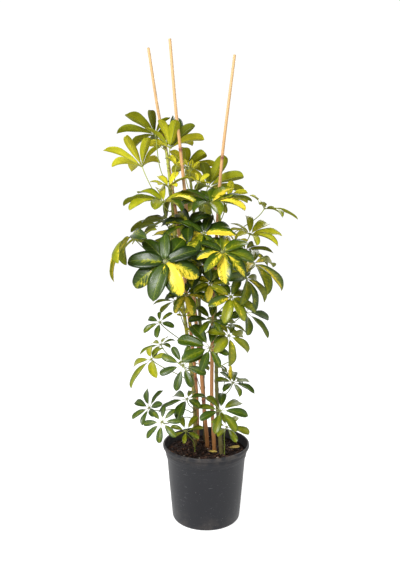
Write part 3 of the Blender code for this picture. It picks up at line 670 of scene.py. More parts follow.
def foundPetiole(leaf, tree):
    best = None
    for swing in petioleSwings:
        curve = petioleCurve(leaf, swing)
        miss = max(abs(tree.find(bezier(*curve[1:], t))[2] - petioleRadius) for t in (0.36, 0.7))
        if best is None or miss < best[0] - 0.0001:
            best = (miss, curve)
    if best[0] > foundWithin:
        print(f"leaf {leaf.name}: petiole {best[0] * 1000:.2f} mm off")
    return best[1]


def bladeTemplate():
    # A flat leaflet blade one unit each way, with its two faces a unit apart
    bm = bmesh.new()
    uvs = bm.loops.layers.uv.new("UVMap")
    bmesh.ops.create_grid(bm, x_segments=bladeBuild["steps"], y_segments=bladeBuild["columns"], size=0.5)
    bmesh.ops.solidify(bm, geom=bm.faces[:], thickness=1)
    bmesh.ops.recalc_face_normals(bm, faces=bm.faces)
    top = max(v.co.z for v in bm.verts)
    bmesh.ops.translate(bm, verts=bm.verts, vec=(0, 0, -top))
    for face in bm.faces:
        face.material_index = 1 if face.normal.z < -0.5 else 0
        for loop in face.loops:
            loop[uvs].uv = (loop.vert.co.x + 0.5, loop.vert.co.y + 0.5)
    return asMesh("blade_template", bm)


def hubTemplate():
    bm = bmesh.new()
    bm.loops.layers.uv.new("UVMap")
    bmesh.ops.create_uvsphere(bm, u_segments=12, v_segments=7, radius=1)
    return asMesh("hub_template", bm)


bladeShape = bladeTemplate()
hubShape = hubTemplate()


def halfWidth(t, base, tip):
    # Outline of a leaflet: a wedge at the stalk, widest past the middle, blunt or pointed at the tip
    widest = base / (base + tip)
    return (max(t, 0) / widest) ** base * (max(1 - t, 0) / (1 - widest)) ** tip


def addLeaflet(bm, leaf, leaflet, look, chance):
    angle, length, lift, twist = leaflet
    steps = bladeBuild["steps"]
    wide = look.width * length * chance.uniform(0.92, 1.08)
    fold = radians(look.fold * chance.uniform(0.6, 1.4))
    tip = look.tip * chance.uniform(0.9, 1.1)
    waves = chance.uniform(1.2, 2.2)
    phase = chance.uniform(0, 2 * pi)
    droop = bladeBuild["tipDroop"] * length * chance.uniform(0.2, 1.4)
    notch = bladeBuild["notch"] * length * max(chance.uniform(-1, 1), 0)
    stations = []
    for i in range(steps + 1):
        t = sin(pi / 2 * i / steps)
        share = look.stalk + (1 - look.stalk) * t
        stations.append((t, *leafletAt(leaf, angle, length, lift, twist, share)))
    made = stamp(bm, bladeShape)
    for v in made:
        t, place, across, facing = stations[round((v.co.x + 0.5) * steps)]
        side = v.co.y * 2
        reach = halfWidth(t, look.base, tip) * wide
        beat = 2 * pi * waves * t + phase + (bladeBuild["waveShift"] if side > 0 else 0)
        rise = abs(side) * sin(fold) + bladeBuild["wave"] * side * side * sin(beat)
        depth = v.co.z * bladeBuild["thickness"]
        v.co = place + across * side * reach * cos(fold) + facing * (rise * reach + depth - droop * t ** 5)
        back = max((t - 0.75) * 4, 0) ** 2 * (1 - abs(side) ** 1.5 if t < 1 else 1)
        v.co += across.cross(facing) * notch * back
    path, radii = [], []
    ribSteps = bladeBuild["ribSteps"]
    thick, thin = bladeBuild["ribRadii"]
    for i in range(ribSteps + 1):
        share = bladeBuild["ribReach"] * i / ribSteps
        place, _, facing = leafletAt(leaf, angle, length, lift, twist, share)
        t = max(share - look.stalk, 0) / (1 - look.stalk)
        path.append(place - facing * (bladeBuild["thickness"] * 0.8 * min(t * 8, 1) + droop * t ** 5))
        radii.append(thick + (thin - thick) * (i / ribSteps) ** 0.7)
    made += sweep(bm, path, radii, bladeBuild["ribSides"], 2)
    return made


def paintLeaflet(bm, made, layers, values):
    for name, value in values.items():
        for v in made:
            v[layers[name]] = value


def makeLeaf(leaf, look, leaflets, curve, finishes, slot, *nodes):
    chance = random.Random(f"{leaf.name} blades")
    bm = bmesh.new()
    bm.loops.layers.uv.new("UVMap")
    layers = {name: bm.verts.layers.float.new(name) for name in ("seed", "gold", "side", "shade", "pale")}
    normal, right, up = leafAxes(leaf)
    for k, leaflet in enumerate(leaflets):
        made = addLeaflet(bm, leaf, leaflet, look, chance)
        gold = 0
        if look.gold:
            gold = look.gold + 0.22 * cos(leaflet[0] - radians(look.toward)) + chance.uniform(-0.22, 0.22)
        if leaf.name in leafletGolds:
            gold = leafletGolds[leaf.name][k]
        seed = chance.random()
        side = chance.choice((-1, 1)) * chance.uniform(0.2, 1)
        shade = look.shade + chance.uniform(-look.spread, look.spread)
        paintLeaflet(bm, made, layers, {
            "seed": seed,
            "gold": min(max(gold, 0), 1),
            "side": side,
            "shade": leafletShades.get(leaf.name, {}).get(k, min(max(shade, 0), 1)),
            "pale": look.pale,
        })
    hub = Vector(leaf.hub)
    made = stamp(bm, hubShape, 2)
    swell = hubRadius * (bladeBuild["hubSwell"] if look.stalk > 0.08 else bladeBuild["hubSwellSessile"])
    for v in made:
        v.co = hub + (right * v.co.x + up * v.co.y) * swell + normal * v.co.z * hubRadius * 0.8
    if curve:
        foot, start, first, last, end = curve
        count = bladeBuild["petioleSteps"]
        path = [foot, foot.lerp(start, 0.5)]
        path += [bezier(start, first, last, end, i / count) for i in range(count + 1)]
        path.append(hub - normal * hubRadius * 0.4)
        radii = []
        for i in range(len(path)):
            share = i / (len(path) - 1)
            radii.append(petioleRadius * (0.92 + 0.95 * exp(-share * 26) + 0.75 * exp((share - 1) * 22)))
        made += sweep(bm, path, radii, bladeBuild["petioleSides"], 2)
    paintLeaflet(bm, made, layers, {"shade": look.shade})
    bmesh.ops.remove_doubles(bm, verts=bm.verts, dist=mergeWithin)
    return addPiece(f"{leaf.name}_leaf", bm, finishes, slot, *nodes)


def makeLeaves():
    finishes = (bladePaint("blade_top", False), bladePaint("blade_underside", True), leafStalkPaint())
    for leaf in leaves:
        node = f"leaf_{leaf.name}"
        tree = solidCorners(node)
        look = looks.get(leaf.name, plainLook)
        makeLeaf(leaf, look, foundLeaflets(leaf, tree), foundPetiole(leaf, tree), finishes,
                 leafSlots[leaf.name], node)
    print(f"leaves: {len(leaves)}")


# Leaves that no plain solid stands for: young ones, a fading one, and the folded ones at the stems' tips

youngLeaves = {
    Leaf("young_left", "stem_left", 0.545, (-0.060, -0.022, 0.572), -80, 40, 60, 5, 0.034, 0.4, 34, 20):
        Look(0.10, 0.10, 0.0, 0, 0.20, 0.10, 0.7, 0.55, 26, 0.0),
    Leaf("young_left_low", "stem_left", 0.520, (-0.040, -0.020, 0.536), -60, 46, -60, 4, 0.030, 0.4, 26, 20):
        Look(0.08, 0.08, 0.0, 0, 0.20, 0.10, 0.7, 0.55, 26, 0.0),
    Leaf("young_top", "stem_left", 0.900, (-0.078, -0.012, 0.966), -40, 22, 130, 5, 0.036, 0.4, 44, 20):
        Look(0.06, 0.06, 0.0, 0, 0.22, 0.10, 0.7, 0.50, 30, 0.0),
    Leaf("young_right", "stem_right", 0.745, (0.075, -0.040, 0.770), -40, 34, 20, 5, 0.036, 0.4, 34, 20):
        Look(0.16, 0.10, 0.0, 0, 0.20, 0.10, 0.7, 0.55, 28, 0.0),
    Leaf("young_middle", "stem_middle", 0.900, (-0.022, 0.010, 0.925), -60, 30, 40, 5, 0.040, 0.4, 38, 20):
        Look(0.10, 0.10, 0.0, 0, 0.21, 0.10, 0.7, 0.55, 28, 0.0),
    Leaf("fading_right", "stem_right", 0.430, (0.064, -0.044, 0.452), -85, 76, -88, 1, 0.052, 0.0, 2, 22):
        Look(0.20, 0.0, 1.0, -90, 0.13, 0.06, 0.7, 0.60, 30, 0.0),
}


tipLook = Look(0.06, 0.06, 0.0, 0, 0.17, 0.14, 0.7, 0.6, 34, 0.0)
tipBuild = {
    "lengths": (0.040, 0.028),      # of the leaflets of the outer leaf and of the inner one
    "leaflets": 5,
    "rise": (0.010, 0.016),         # of their hubs over the top of the stem
    "aside": (0.007, 0),
    "tilts": (26, 12),
    "taper": 0.35,
    "lift": 62,
    "bend": 18,
    "stalk": 0.006,
}


def makeTips():
    finishes = (bladePaint("young_blade_top", False), bladePaint("young_blade_underside", True),
                leafStalkPaint())
    for leaf, look in youngLeaves.items():
        makeLeaf(leaf, look, leafletPlan(leaf), petioleCurve(leaf, 0), finishes, "leaf_lime")
    b = tipBuild
    for stem in stemRoutes:
        route, _ = routes[stem]
        top, along = pointAt(route, route[-1].z)
        chance = random.Random(f"{stem} tip")
        rows = zip(b["lengths"], b["rise"], b["aside"], b["tilts"])
        for k, (length, rise, aside, tilt) in enumerate(rows):
            swing = chance.uniform(0, 360)
            side = Vector((cos(radians(swing)), sin(radians(swing)), 0))
            hub = top + along * rise + side * aside
            leaf = Leaf(f"{stem}_tip_{k}", None, 0, tuple(hub), swing, tilt, chance.uniform(0, 360),
                        b["leaflets"], length, b["taper"], b["lift"], b["bend"])
            normal, _, _ = leafAxes(leaf)
            curve = (top - along * collarLength, top, top + along * collarLength, hub - normal * b["stalk"],
                     hub - normal * collarLength)
            makeLeaf(leaf, tipLook, leafletPlan(leaf), curve, finishes, "leaf_lime")
    print("stem tips")


# Shed leaflets on the compost: (x, y), heading in degrees, length

shedLeaflets = {
    "shed_leaflet_right": ((0.058, 0.012), -10, 0.034),
    "shed_leaflet_front": ((0.002, -0.012), -35, 0.030),
}
shedBuild = {
    "tilt": 0.01,
    "lift": -14,
    "bend": -44,
    "twist": 0.3,
    "clear": 0.003,             # of the lowest point over the compost's level
    "width": 0.21,
    "stalk": 0.08,
    "base": 0.7,
    "tip": 0.5,
    "fold": 26,
}


def makeShedLeaflets():
    finishes = (dryBladePaint("dry_blade_top", (0.50, 0.40, 0.06), (0.26, 0.13, 0.035)),
                dryBladePaint("dry_blade_underside", (0.48, 0.40, 0.12), (0.30, 0.17, 0.06)),
                dryBladePaint("dry_stalk", (0.36, 0.24, 0.08), (0.20, 0.10, 0.04)))
    look = Look(0, 0, 0, 0, *(shedBuild[key] for key in ("width", "stalk", "base", "tip", "fold")), 0)
    for name, ((x, y), heading, length) in shedLeaflets.items():
        leaf = Leaf(name, None, 0, (x, y, 0), 0, shedBuild["tilt"], heading, 1, length, 0,
                    shedBuild["lift"], shedBuild["bend"])
        bm = bmesh.new()
        bm.loops.layers.uv.new("UVMap")
        addLeaflet(bm, leaf, (radians(heading), length, radians(shedBuild["lift"]), shedBuild["twist"]),
                   look, random.Random(name))
        bmesh.ops.remove_doubles(bm, verts=bm.verts, dist=mergeWithin)
        lowest = min(v.co.z for v in bm.verts)
        bmesh.ops.translate(bm, verts=bm.verts, vec=(0, 0, soilLevel + shedBuild["clear"] - lowest))
        addPiece(f"{name}_dry", bm, finishes, "leaf_dry", name)
    print("shed leaflets")


# Pot

potBuild = {
    "height": 0.212,
    "rimRadius": 0.120,
    "rimInnerRadius": 0.1145,
    "rimRoll": 0.0105,          # height of the rolled rim
    "collarDepth": 0.036,       # rim top to the lower edge of the collar
    "baseRadius": 0.0938,       # where the wall would meet the ground
    "wallTaper": 0.0875,        # growth of the radius for each metre of height
    "wall": 0.002,
    "heel": 0.006,
    "segments": 144,
    "drainHoles": 4,
    "drainHoleRadius": 0.008,
    "drainRingRadius": 0.062,
    "drainSides": 32,
}


def wallRadius(z):
    return potBuild["baseRadius"] + potBuild["wallTaper"] * z


def potPaint():
    # Dark moulded plastic: faint flow lines round it, scuffs, and dust from the compost by the rim
    paint = Paint("moulded_plastic", Specular_IOR_Level=0.24)
    place = paint.place()
    height = paint.axis(place, "Z")
    broad = paint.noise(paint.mapped(place, (9, 9, 5)), 1.0, 3.0)
    fine = paint.noise(place, 900.0, 2.0)
    scratches = paint.noise(paint.mapped(place, (60, 60, 900)), 1.0, 2.0).above(0.70, 0.05)
    scuffed = scratches * paint.noise(place, 24.0, 2.0).above(0.56, 0.10)
    specks = paint.noise(place, 420.0, 1.0).above(0.78, 0.03)
    dust = height.above(0.196, 0.03) * paint.noise(place, 55.0, 4.0).above(0.52, 0.2)
    splash = (1 - height.above(0.03, 0.05)) * paint.noise(place, 38.0, 4.0).above(0.56, 0.2)
    color = paint.mix(broad, (0.0085, 0.0088, 0.0112), (0.0150, 0.0154, 0.0185))
    color = paint.mix(scuffed * 0.5, color, (0.20, 0.20, 0.205))
    color = paint.mix(specks * 0.6, color, (0.26, 0.25, 0.24))
    color = paint.mix(dust * 0.30 + splash * 0.16, color, (0.14, 0.115, 0.095))
    paint.feed("Base Color", color)
    paint.feed("Roughness", 0.40 + broad * 0.12 + scuffed * 0.15 + dust * 0.2)
    paint.bump(fine * 0.5 + scratches * -0.4 + broad * 0.6, 0.0002, 0.5)
    return paint.owner


def makePot():
    # Radius and height of the wall, from the middle of the floor inside to the middle of it underneath
    b = potBuild
    height, rim, inner, wall, heel = b["height"], b["rimRadius"], b["rimInnerRadius"], b["wall"], b["heel"]
    roll = height - b["rimRoll"]
    collar = height - b["collarDepth"]
    under = wallRadius(collar)
    profile = [
        (0, wall), (wallRadius(0) - heel - 0.001, wall), (wallRadius(heel) - wall, heel + wall),
        (under - wall, collar), (inner - 0.003, collar + 0.003), (inner - 0.0004, height - 0.005),
        (inner + 0.0002, height - 0.0022), (inner + 0.0010, height - 0.0007), (inner + 0.0022, height),
        (rim - 0.0030, height), (rim - 0.0014, height - 0.0006), (rim - 0.0004, height - 0.0020),
        (rim, height - 0.0042), (rim - 0.0001, roll + 0.0026), (rim - 0.0007, roll + 0.0008),
        (rim - 0.0018, roll), (rim - 0.0046, roll + 0.0002), (rim - 0.0054, roll - 0.0006),
        (rim - 0.0058, roll - 0.0022), (rim - 0.0068, collar + 0.0150), (rim - 0.0064, collar + 0.0136),
        (rim - 0.0070, collar + 0.0122), (under + 0.0020, collar + 0.0030),
        (under + 0.0017, collar + 0.0012), (under + 0.0010, collar + 0.0003), (under - 0.0002, collar),
        (under - 0.0006, collar - 0.0012),
        (wallRadius(0.110), 0.110), (wallRadius(0.050), 0.050), (wallRadius(heel), heel),
        (wallRadius(0) - 0.0006, 0.0028), (wallRadius(0) - 0.0022, 0.0008), (wallRadius(0) - heel, 0),
        (wallRadius(0) - heel - 0.004, 0), (wallRadius(0) - heel - 0.005, 0.0007), (0, 0.0007),
    ]
    bm = bmesh.new()
    spun(bm, profile, b["segments"])
    pot = addPiece("nursery_pot", bm, (potPaint(),), "pot_plastic", "pot")
    bm = bmesh.new()
    for i in range(b["drainHoles"]):
        angle = 2 * pi * (i + 0.5) / b["drainHoles"]
        place = Vector((cos(angle), sin(angle), 0)) * b["drainRingRadius"]
        bmesh.ops.create_cone(bm, cap_ends=True, segments=b["drainSides"], depth=4 * wall,
                              radius1=b["drainHoleRadius"], radius2=b["drainHoleRadius"],
                              matrix=Matrix.Translation(place))
    cutter = bpy.data.objects.new("drain_cutter", asMesh("drain_cutter", bm))
    bpy.context.scene.collection.objects.link(cutter)
    drill = pot.modifiers.new("Drain holes", "BOOLEAN")
    drill.object = cutter
    bpy.context.view_layer.update()
    drilled = bpy.data.meshes.new_from_object(pot.evaluated_get(bpy.context.evaluated_depsgraph_get()))
    pot.modifiers.clear()
    pot.data = drilled
    bpy.data.objects.remove(cutter)
    drilled.set_sharp_from_angle(angle=sharpAngle)
    print("pot")


# Compost: a rough bed with bark chips on it

soilBuild = {
    "segments": 96,
    "rings": 22,
    "chips": 980,
    "chipLength": (0.0040, 0.0135),
    "chipWidth": (0.22, 0.62),      # over the length
    "chipDepth": (0.12, 0.28),      # over the length
    "pale": 0.05,                   # share of chips that are pale grit
    "gritLength": (0.0018, 0.0034),
    "gritDepth": 0.8,
    "edge": 0.007,                  # kept clear of chips inside the wall
    "tip": 0.30,                    # how far a chip tips, in radians
    "jitter": 0.36,
    "roughness": 0.0035,
    "lump": 55,                     # lumps of the bed to a metre
}


def soilPaint():
    paint = Paint("bark_compost", Roughness=0.92, Specular_IOR_Level=0.2)
    place = paint.place()
    grain = paint.noise(place, 420.0, 4.0, 0.7)
    clumps = paint.noise(place, 60.0, 3.0)
    tone = paint.ramp(grain, (0.30, (0.004, 0.002, 0.001)), (0.55, (0.014, 0.005, 0.003)),
                      (0.75, (0.036, 0.014, 0.007)))
    paint.feed("Base Color", paint.mix(clumps.above(0.55, 0.3) * 0.5, tone, (0.016, 0.007, 0.004)))
    paint.bump(grain + clumps, 0.002, 1.0)
    return paint.owner


def chipPaint():
    # Bark chips; tone picks the colour of each one
    paint = Paint("bark_chips", Roughness=0.85, Specular_IOR_Level=0.25)
    place = paint.place()
    tone = paint.value("tone")
    grain = paint.noise(paint.mapped(place, (420, 160, 420)), 1.0, 4.0, 0.65)
    color = paint.ramp(tone, (0.0, (0.006, 0.002, 0.001)), (0.35, (0.017, 0.006, 0.003)),
                       (0.70, (0.040, 0.014, 0.006)), (0.90, (0.100, 0.042, 0.018)),
                       (0.96, (0.40, 0.37, 0.32)))
    paint.feed("Base Color", paint.mix(grain.above(0.50, 0.35) * 0.65, color, (0.014, 0.006, 0.004)))
    paint.bump(grain, 0.0010, 1.0)
    return paint.owner


def chipTemplate():
    bm = bmesh.new()
    bmesh.ops.create_cube(bm, size=1)
    bmesh.ops.subdivide_edges(bm, edges=bm.edges[:], cuts=1, use_grid_fill=True)
    bmesh.ops.smooth_vert(bm, verts=bm.verts, factor=0.3, use_axis_x=True, use_axis_y=True, use_axis_z=True)
    return asMesh("chip_template", bm)


def bedHeight(x, y):
    scale = soilBuild["lump"]
    lump = noise.fractal((x * scale, y * scale, 2.0), 0.8, 2.1, 4)
    return soilLevel + soilBuild["roughness"] * (0.9 * lump - 0.25)


def makeSoil():
    b, p = soilBuild, potBuild
    inset = p["wall"] + plantingGap
    collar = p["height"] - p["collarDepth"]
    brim = p["rimInnerRadius"] - 0.003 - plantingGap
    top = [(brim * i / b["rings"], soilLevel) for i in range(b["rings"] + 1)]
    profile = top + [
        (brim, collar + 0.0035), (wallRadius(collar) - inset, collar),
        (wallRadius(p["heel"]) - inset, p["heel"] + p["wall"]),
        (wallRadius(0) - p["heel"] - plantingGap, p["wall"] + plantingGap), (0, p["wall"] + plantingGap),
    ]
    bed = bmesh.new()
    spun(bed, profile, b["segments"])
    for v in bed.verts:
        if v.co.z > soilLevel - 0.001 and v.co.xy.length < brim - 0.001:
            v.co.z = bedHeight(v.co.x, v.co.y)
    bedMesh = asMesh("bed", bed)
    bm = bmesh.new()
    toneLayer = bm.verts.layers.float.new("tone")
    stamp(bm, bedMesh)
    chance = random.Random(31)
    noise.seed_set(31)      # noise_vector takes its seed from the clock otherwise
    chip = chipTemplate()
    for k in range(b["chips"]):
        reach = (brim - b["edge"]) * chance.random() ** 0.5
        angle = chance.uniform(0, 2 * pi)
        x, y = reach * cos(angle), reach * sin(angle)
        pale = chance.random() < b["pale"]
        length = chance.uniform(*b["gritLength" if pale else "chipLength"])
        width = 1 if pale else chance.uniform(*b["chipWidth"])
        depth = b["gritDepth"] if pale else chance.uniform(*b["chipDepth"])
        turn = (Matrix.Rotation(chance.uniform(0, 2 * pi), 3, "Z")
                @ Matrix.Rotation(chance.gauss(0, b["tip"]), 3, "Y")
                @ Matrix.Rotation(chance.gauss(0, b["tip"]), 3, "X"))
        tone = 1 if pale else min(chance.random() ** 1.3, 0.9)
        place = Vector((x, y, bedHeight(x, y) + length * depth * chance.uniform(0.1, 0.9)))
        for v in stamp(bm, chip, 1):
            jitter = noise.noise_vector(v.co * 2.9 + Vector((k, 0, 0))) * b["jitter"]
            v.co = place + turn @ ((v.co + jitter) * Vector((length, length * width, length * depth)))
            v[toneLayer] = tone
    bpy.data.meshes.remove(chip)
    bpy.data.meshes.remove(bedMesh)
    addPiece("bark_bed", bm, (soilPaint(), chipPaint()), "bark_compost", "soil")
    print("compost")


# Canes

# Height of the highest joint of each
caneJoints = {"cane_left": 1.060, "cane_middle": 1.010, "cane_right": 0.993}
caneBuild = {
    "jointGap": 0.190,          # between the highest two joints
    "gapShrink": 0.93,          # each gap over the one above it
    "lowest": 0.02,             # of a joint over the foot
    "ringGap": 0.020,
    "jointRings": (-0.010, -0.006, -0.0035, -0.0018, -0.0006, 0.0006, 0.0018, 0.0032, 0.005, 0.008, 0.012),
    "jointClear": 0.013,        # where the other rings keep out of a joint's
    "sides": 20,
    "ridge": 0.13,              # swelling at a joint, over the radius
    "ridgeLength": 0.0016,
    "groove": 0.07,
    "grooveAbove": 0.0042,
    "grooveLength": 0.0022,
    "stainBelow": 0.002,
    "stainLength": 0.0065,
    "wall": 0.42,               # wall of the hollow top, over the radius
    "hollow": 0.016,
}


def caneHeights(name):
    # Heights of a cane's joints, and of all its rings
    b = caneBuild
    low, high = caneRoutes[name][0][2], caneRoutes[name][-1][2]
    joints = []
    place, gap = caneJoints[name], b["jointGap"]
    while place > low + b["lowest"]:
        joints.append(place)
        place -= gap
        gap *= b["gapShrink"]
    count = round((high - low) / b["ringGap"])
    heights = [low + (high - low) * i / count for i in range(count + 1)]
    heights = [z for z in heights if all(abs(z - joint) > b["jointClear"] for joint in joints)]
    for joint in joints:
        heights += [joint + offset for offset in b["jointRings"]]
    return joints, sorted(heights)


def bambooPaint():
    # Orange-brown below and pale tan above, dark red-brown at the joints, with fibres along it
    paint = Paint("bamboo", Specular_IOR_Level=0.5)
    place = paint.place()
    height = paint.axis(place, "Z")
    along, turn = paint.uv("X"), paint.uv("Y") * (2 * pi)
    fibre = paint.vector(turn.calc("COSINE", turn) * 9, turn.calc("SINE", turn) * 9, along * 7)
    fibres = paint.noise(fibre, 1.0, 5.0, 0.65)
    stains = paint.noise(paint.mapped(place, (60, 60, 9)), 1.0, 3.0)
    joint = paint.value("joint")
    tone = paint.ramp(height / 1.3 + (stains - 0.5) * 0.22,
                      (0.30, (0.39, 0.165, 0.048)), (0.52, (0.44, 0.210, 0.068)),
                      (0.74, (0.44, 0.240, 0.088)), (0.90, (0.45, 0.285, 0.118)))
    tone = paint.mix(fibres.above(0.50, 0.30) * 0.14, tone, (0.30, 0.125, 0.045))
    tone = paint.mix((1 - fibres).above(0.55, 0.30) * 0.10, tone, (0.62, 0.42, 0.20))
    tone = paint.mix(stains.above(0.62, 0.12) * 0.28, tone, (0.20, 0.085, 0.038))
    stained = (joint * (0.6 + fibres * 0.8)).clamped()
    paint.feed("Base Color", paint.mix(stained, tone, (0.165, 0.040, 0.022)))
    paint.feed("Roughness", 0.42 + fibres * 0.18)
    paint.bump(fibres, 0.0001, 0.4)
    return paint.owner


def pithPaint():
    paint = Paint("bamboo_pith", Roughness=0.8)
    pores = paint.noise(paint.place(), 1800.0, 3.0)
    paint.feed("Base Color", paint.ramp(pores, (0.35, (0.34, 0.20, 0.09)), (0.6, (0.66, 0.50, 0.28))))
    paint.bump(pores, 0.0004, 0.7)
    return paint.owner


def makeCanes():
    finishes = (bambooPaint(), pithPaint())
    b = caneBuild
    for name, points in caneRoutes.items():
        fine = smoothRoute(points, fineRouteSteps)
        joints, heights = caneHeights(name)
        bm = bmesh.new()
        bm.loops.layers.uv.new("UVMap")
        jointLayer = bm.verts.layers.float.new("joint")
        path, radii, marks = [], [], []
        for z in heights:
            ridge = sum(exp(-((z - joint) / b["ridgeLength"]) ** 2) for joint in joints)
            groove = sum(exp(-((z - joint - b["grooveAbove"]) / b["grooveLength"]) ** 2) for joint in joints)
            path.append(pointAt(fine, z)[0])
            radii.append(radiusAt(caneRadii, fine, z) * (1 + b["ridge"] * ridge - b["groove"] * groove))
            marks.append(max(exp(-((z - joint + b["stainBelow"]) / b["stainLength"]) ** 2)
                             for joint in joints))
        made = sweep(bm, path, radii, b["sides"])
        for v in made:
            nearest = min(range(len(path)), key=lambda i: (path[i] - v.co).length_squared)
            v[jointLayer] = marks[nearest]
        top = max(bm.faces, key=lambda f: f.calc_center_median().z)
        top.material_index = 1
        bmesh.ops.inset_region(bm, faces=[top], thickness=caneRadii[1] * b["wall"])
        rim = top.verts[:]
        hole = bmesh.ops.extrude_discrete_faces(bm, faces=[top])["faces"][0]
        bmesh.ops.translate(bm, verts=hole.verts, vec=(path[-2] - path[-1]).normalized() * b["hollow"])
        for face in {f for v in rim + hole.verts[:] for f in v.link_faces}:
            face.material_index = 1
        addPiece(f"bamboo_{name}", bm, finishes, "bamboo", name).data.set_sharp_from_angle(angle=sharpAngle)
    print(f"canes: {len(caneRoutes)}")


# Stems

stemBuild = {
    "ringGap": 0.0036,
    "sides": 16,
    "scarGap": (0.016, 0.030),  # between leaf scars
    "scarLength": 0.0030,
    "firstScar": 0.03,          # over the foot
    "lastScar": 0.01,           # under the top
    "scarSwell": 0.13,
    "budSwell": 0.22,
    "uneven": 0.05,             # height of the bark's bumps over the radius
    "colors": {                 # foot, middle and top of each
        "stem_left": ((0.170, 0.120, 0.040), (0.270, 0.260, 0.045), (0.360, 0.380, 0.050)),
        "stem_middle": ((0.060, 0.050, 0.020), (0.085, 0.090, 0.020), (0.220, 0.240, 0.035)),
        "stem_right": ((0.100, 0.080, 0.030), (0.140, 0.145, 0.028), (0.280, 0.300, 0.040)),
    },
}


def barkPaint(stem):
    # Brown bark at the foot that turns green, then yellow-green at the tip, with corky flecks
    paint = Paint(f"bark_of_{stem}", Roughness=0.6, Specular_IOR_Level=0.3)
    foot, middle, top = stemBuild["colors"][stem]
    place = paint.place()
    along = paint.uv("X")
    grain = paint.noise(paint.mapped(place, (520, 520, 110)), 1.0, 4.0, 0.6)
    flecks = paint.noise(paint.mapped(place, (700, 700, 420)), 1.0, 2.0).above(0.66, 0.06)
    patches = paint.noise(place, 45.0, 3.0)
    scar = paint.value("scar")
    tone = paint.ramp(along + (patches - 0.5) * 0.35, (0.05, foot), (0.45, middle), (0.95, top))
    tone = paint.mix(grain.above(0.55, 0.25) * 0.35, tone, (0.070, 0.062, 0.020))
    tone = paint.mix(flecks * 0.5, tone, (0.34, 0.29, 0.16))
    paint.feed("Base Color", paint.mix((scar * 0.75).clamped(), tone, (0.085, 0.055, 0.024)))
    paint.bump(grain + flecks * 0.7, 0.0006, 0.8)
    return paint.owner


def makeStems():
    b = stemBuild
    for name, points in stemRoutes.items():
        fine = smoothRoute(points, fineRouteSteps)
        low, high = points[0][2], points[-1][2]
        chance = random.Random(name)
        scars = []
        place = low + b["firstScar"]
        while place < high - b["lastScar"]:
            scars.append((place, chance.uniform(0, 2 * pi)))
            place += chance.uniform(*b["scarGap"]) * (1.25 - 0.5 * (place - low) / (high - low))
        bm = bmesh.new()
        bm.loops.layers.uv.new("UVMap")
        scarLayer = bm.verts.layers.float.new("scar")
        count = round((high - low) / b["ringGap"])
        path = [pointAt(fine, low + (high - low) * i / count)[0] for i in range(count + 1)]
        radii = [radiusAt(stemRadii, fine, p.z) for p in path]
        for v in sweep(bm, path, radii, b["sides"]):
            centre, _ = pointAt(fine, min(max(v.co.z, low), high))
            out = v.co - centre
            turn = Vector((0, 1)).angle_signed(out.xy, 0)
            swell = mark = 0
            for z, facing in scars:
                near = (v.co.z - z) / b["scarLength"]
                if abs(near) < 3:
                    toward = max(cos(turn - facing), 0) ** 3
                    swell += exp(-near ** 2) * b["scarSwell"]
                    swell += exp(-(near - 1) ** 2) * toward * b["budSwell"]
                    mark += exp(-(near + 0.4) ** 2 * 3)
            v.co += out * (swell + b["uneven"] * noise.noise(v.co * 260))
            v[scarLayer] = min(mark, 1)
        addPiece(f"living_{name}", bm, (barkPaint(name),), "stem_bark", name)
    print(f"stems: {len(stemRoutes)}")


# Ties

ties = {
    "tie_left": ("cane_left", "stem_left", 0.888),
    "tie_right": ("cane_right", "stem_right", 0.497),
}
tieBuild = {
    "radius": 0.0011,
    "plies": 2,
    "plyRadius": 0.56,          # these five are over the radius
    "plyOffset": 0.48,
    "knotRadius": 0.72,
    "tailRadius": 0.62,
    "tailTaper": 0.12,
    "slack": 1.04,              # of the loop, over a tight one
    "bendSteps": 24,            # of the loop round each member
    "twistGap": 0.0052,         # length of one turn of the plies
    "twistSteps": 14,
    "knotSteps": 24,            # for each turn of the knot
    "knotTurns": 2,
    "tail": 0.013,
    "tailSteps": 10,
    "sides": 8,
}


def twinePaint():
    paint = Paint("dark_red_twine", Roughness=0.85)
    fibres = paint.noise(paint.mapped(paint.place(), (900, 900, 2600)), 1.0, 3.0)
    paint.feed("Base Color", paint.ramp(fibres, (0.3, (0.12, 0.018, 0.014)), (0.7, (0.34, 0.070, 0.050))))
    paint.bump(fibres, 0.0004, 0.9)
    return paint.owner


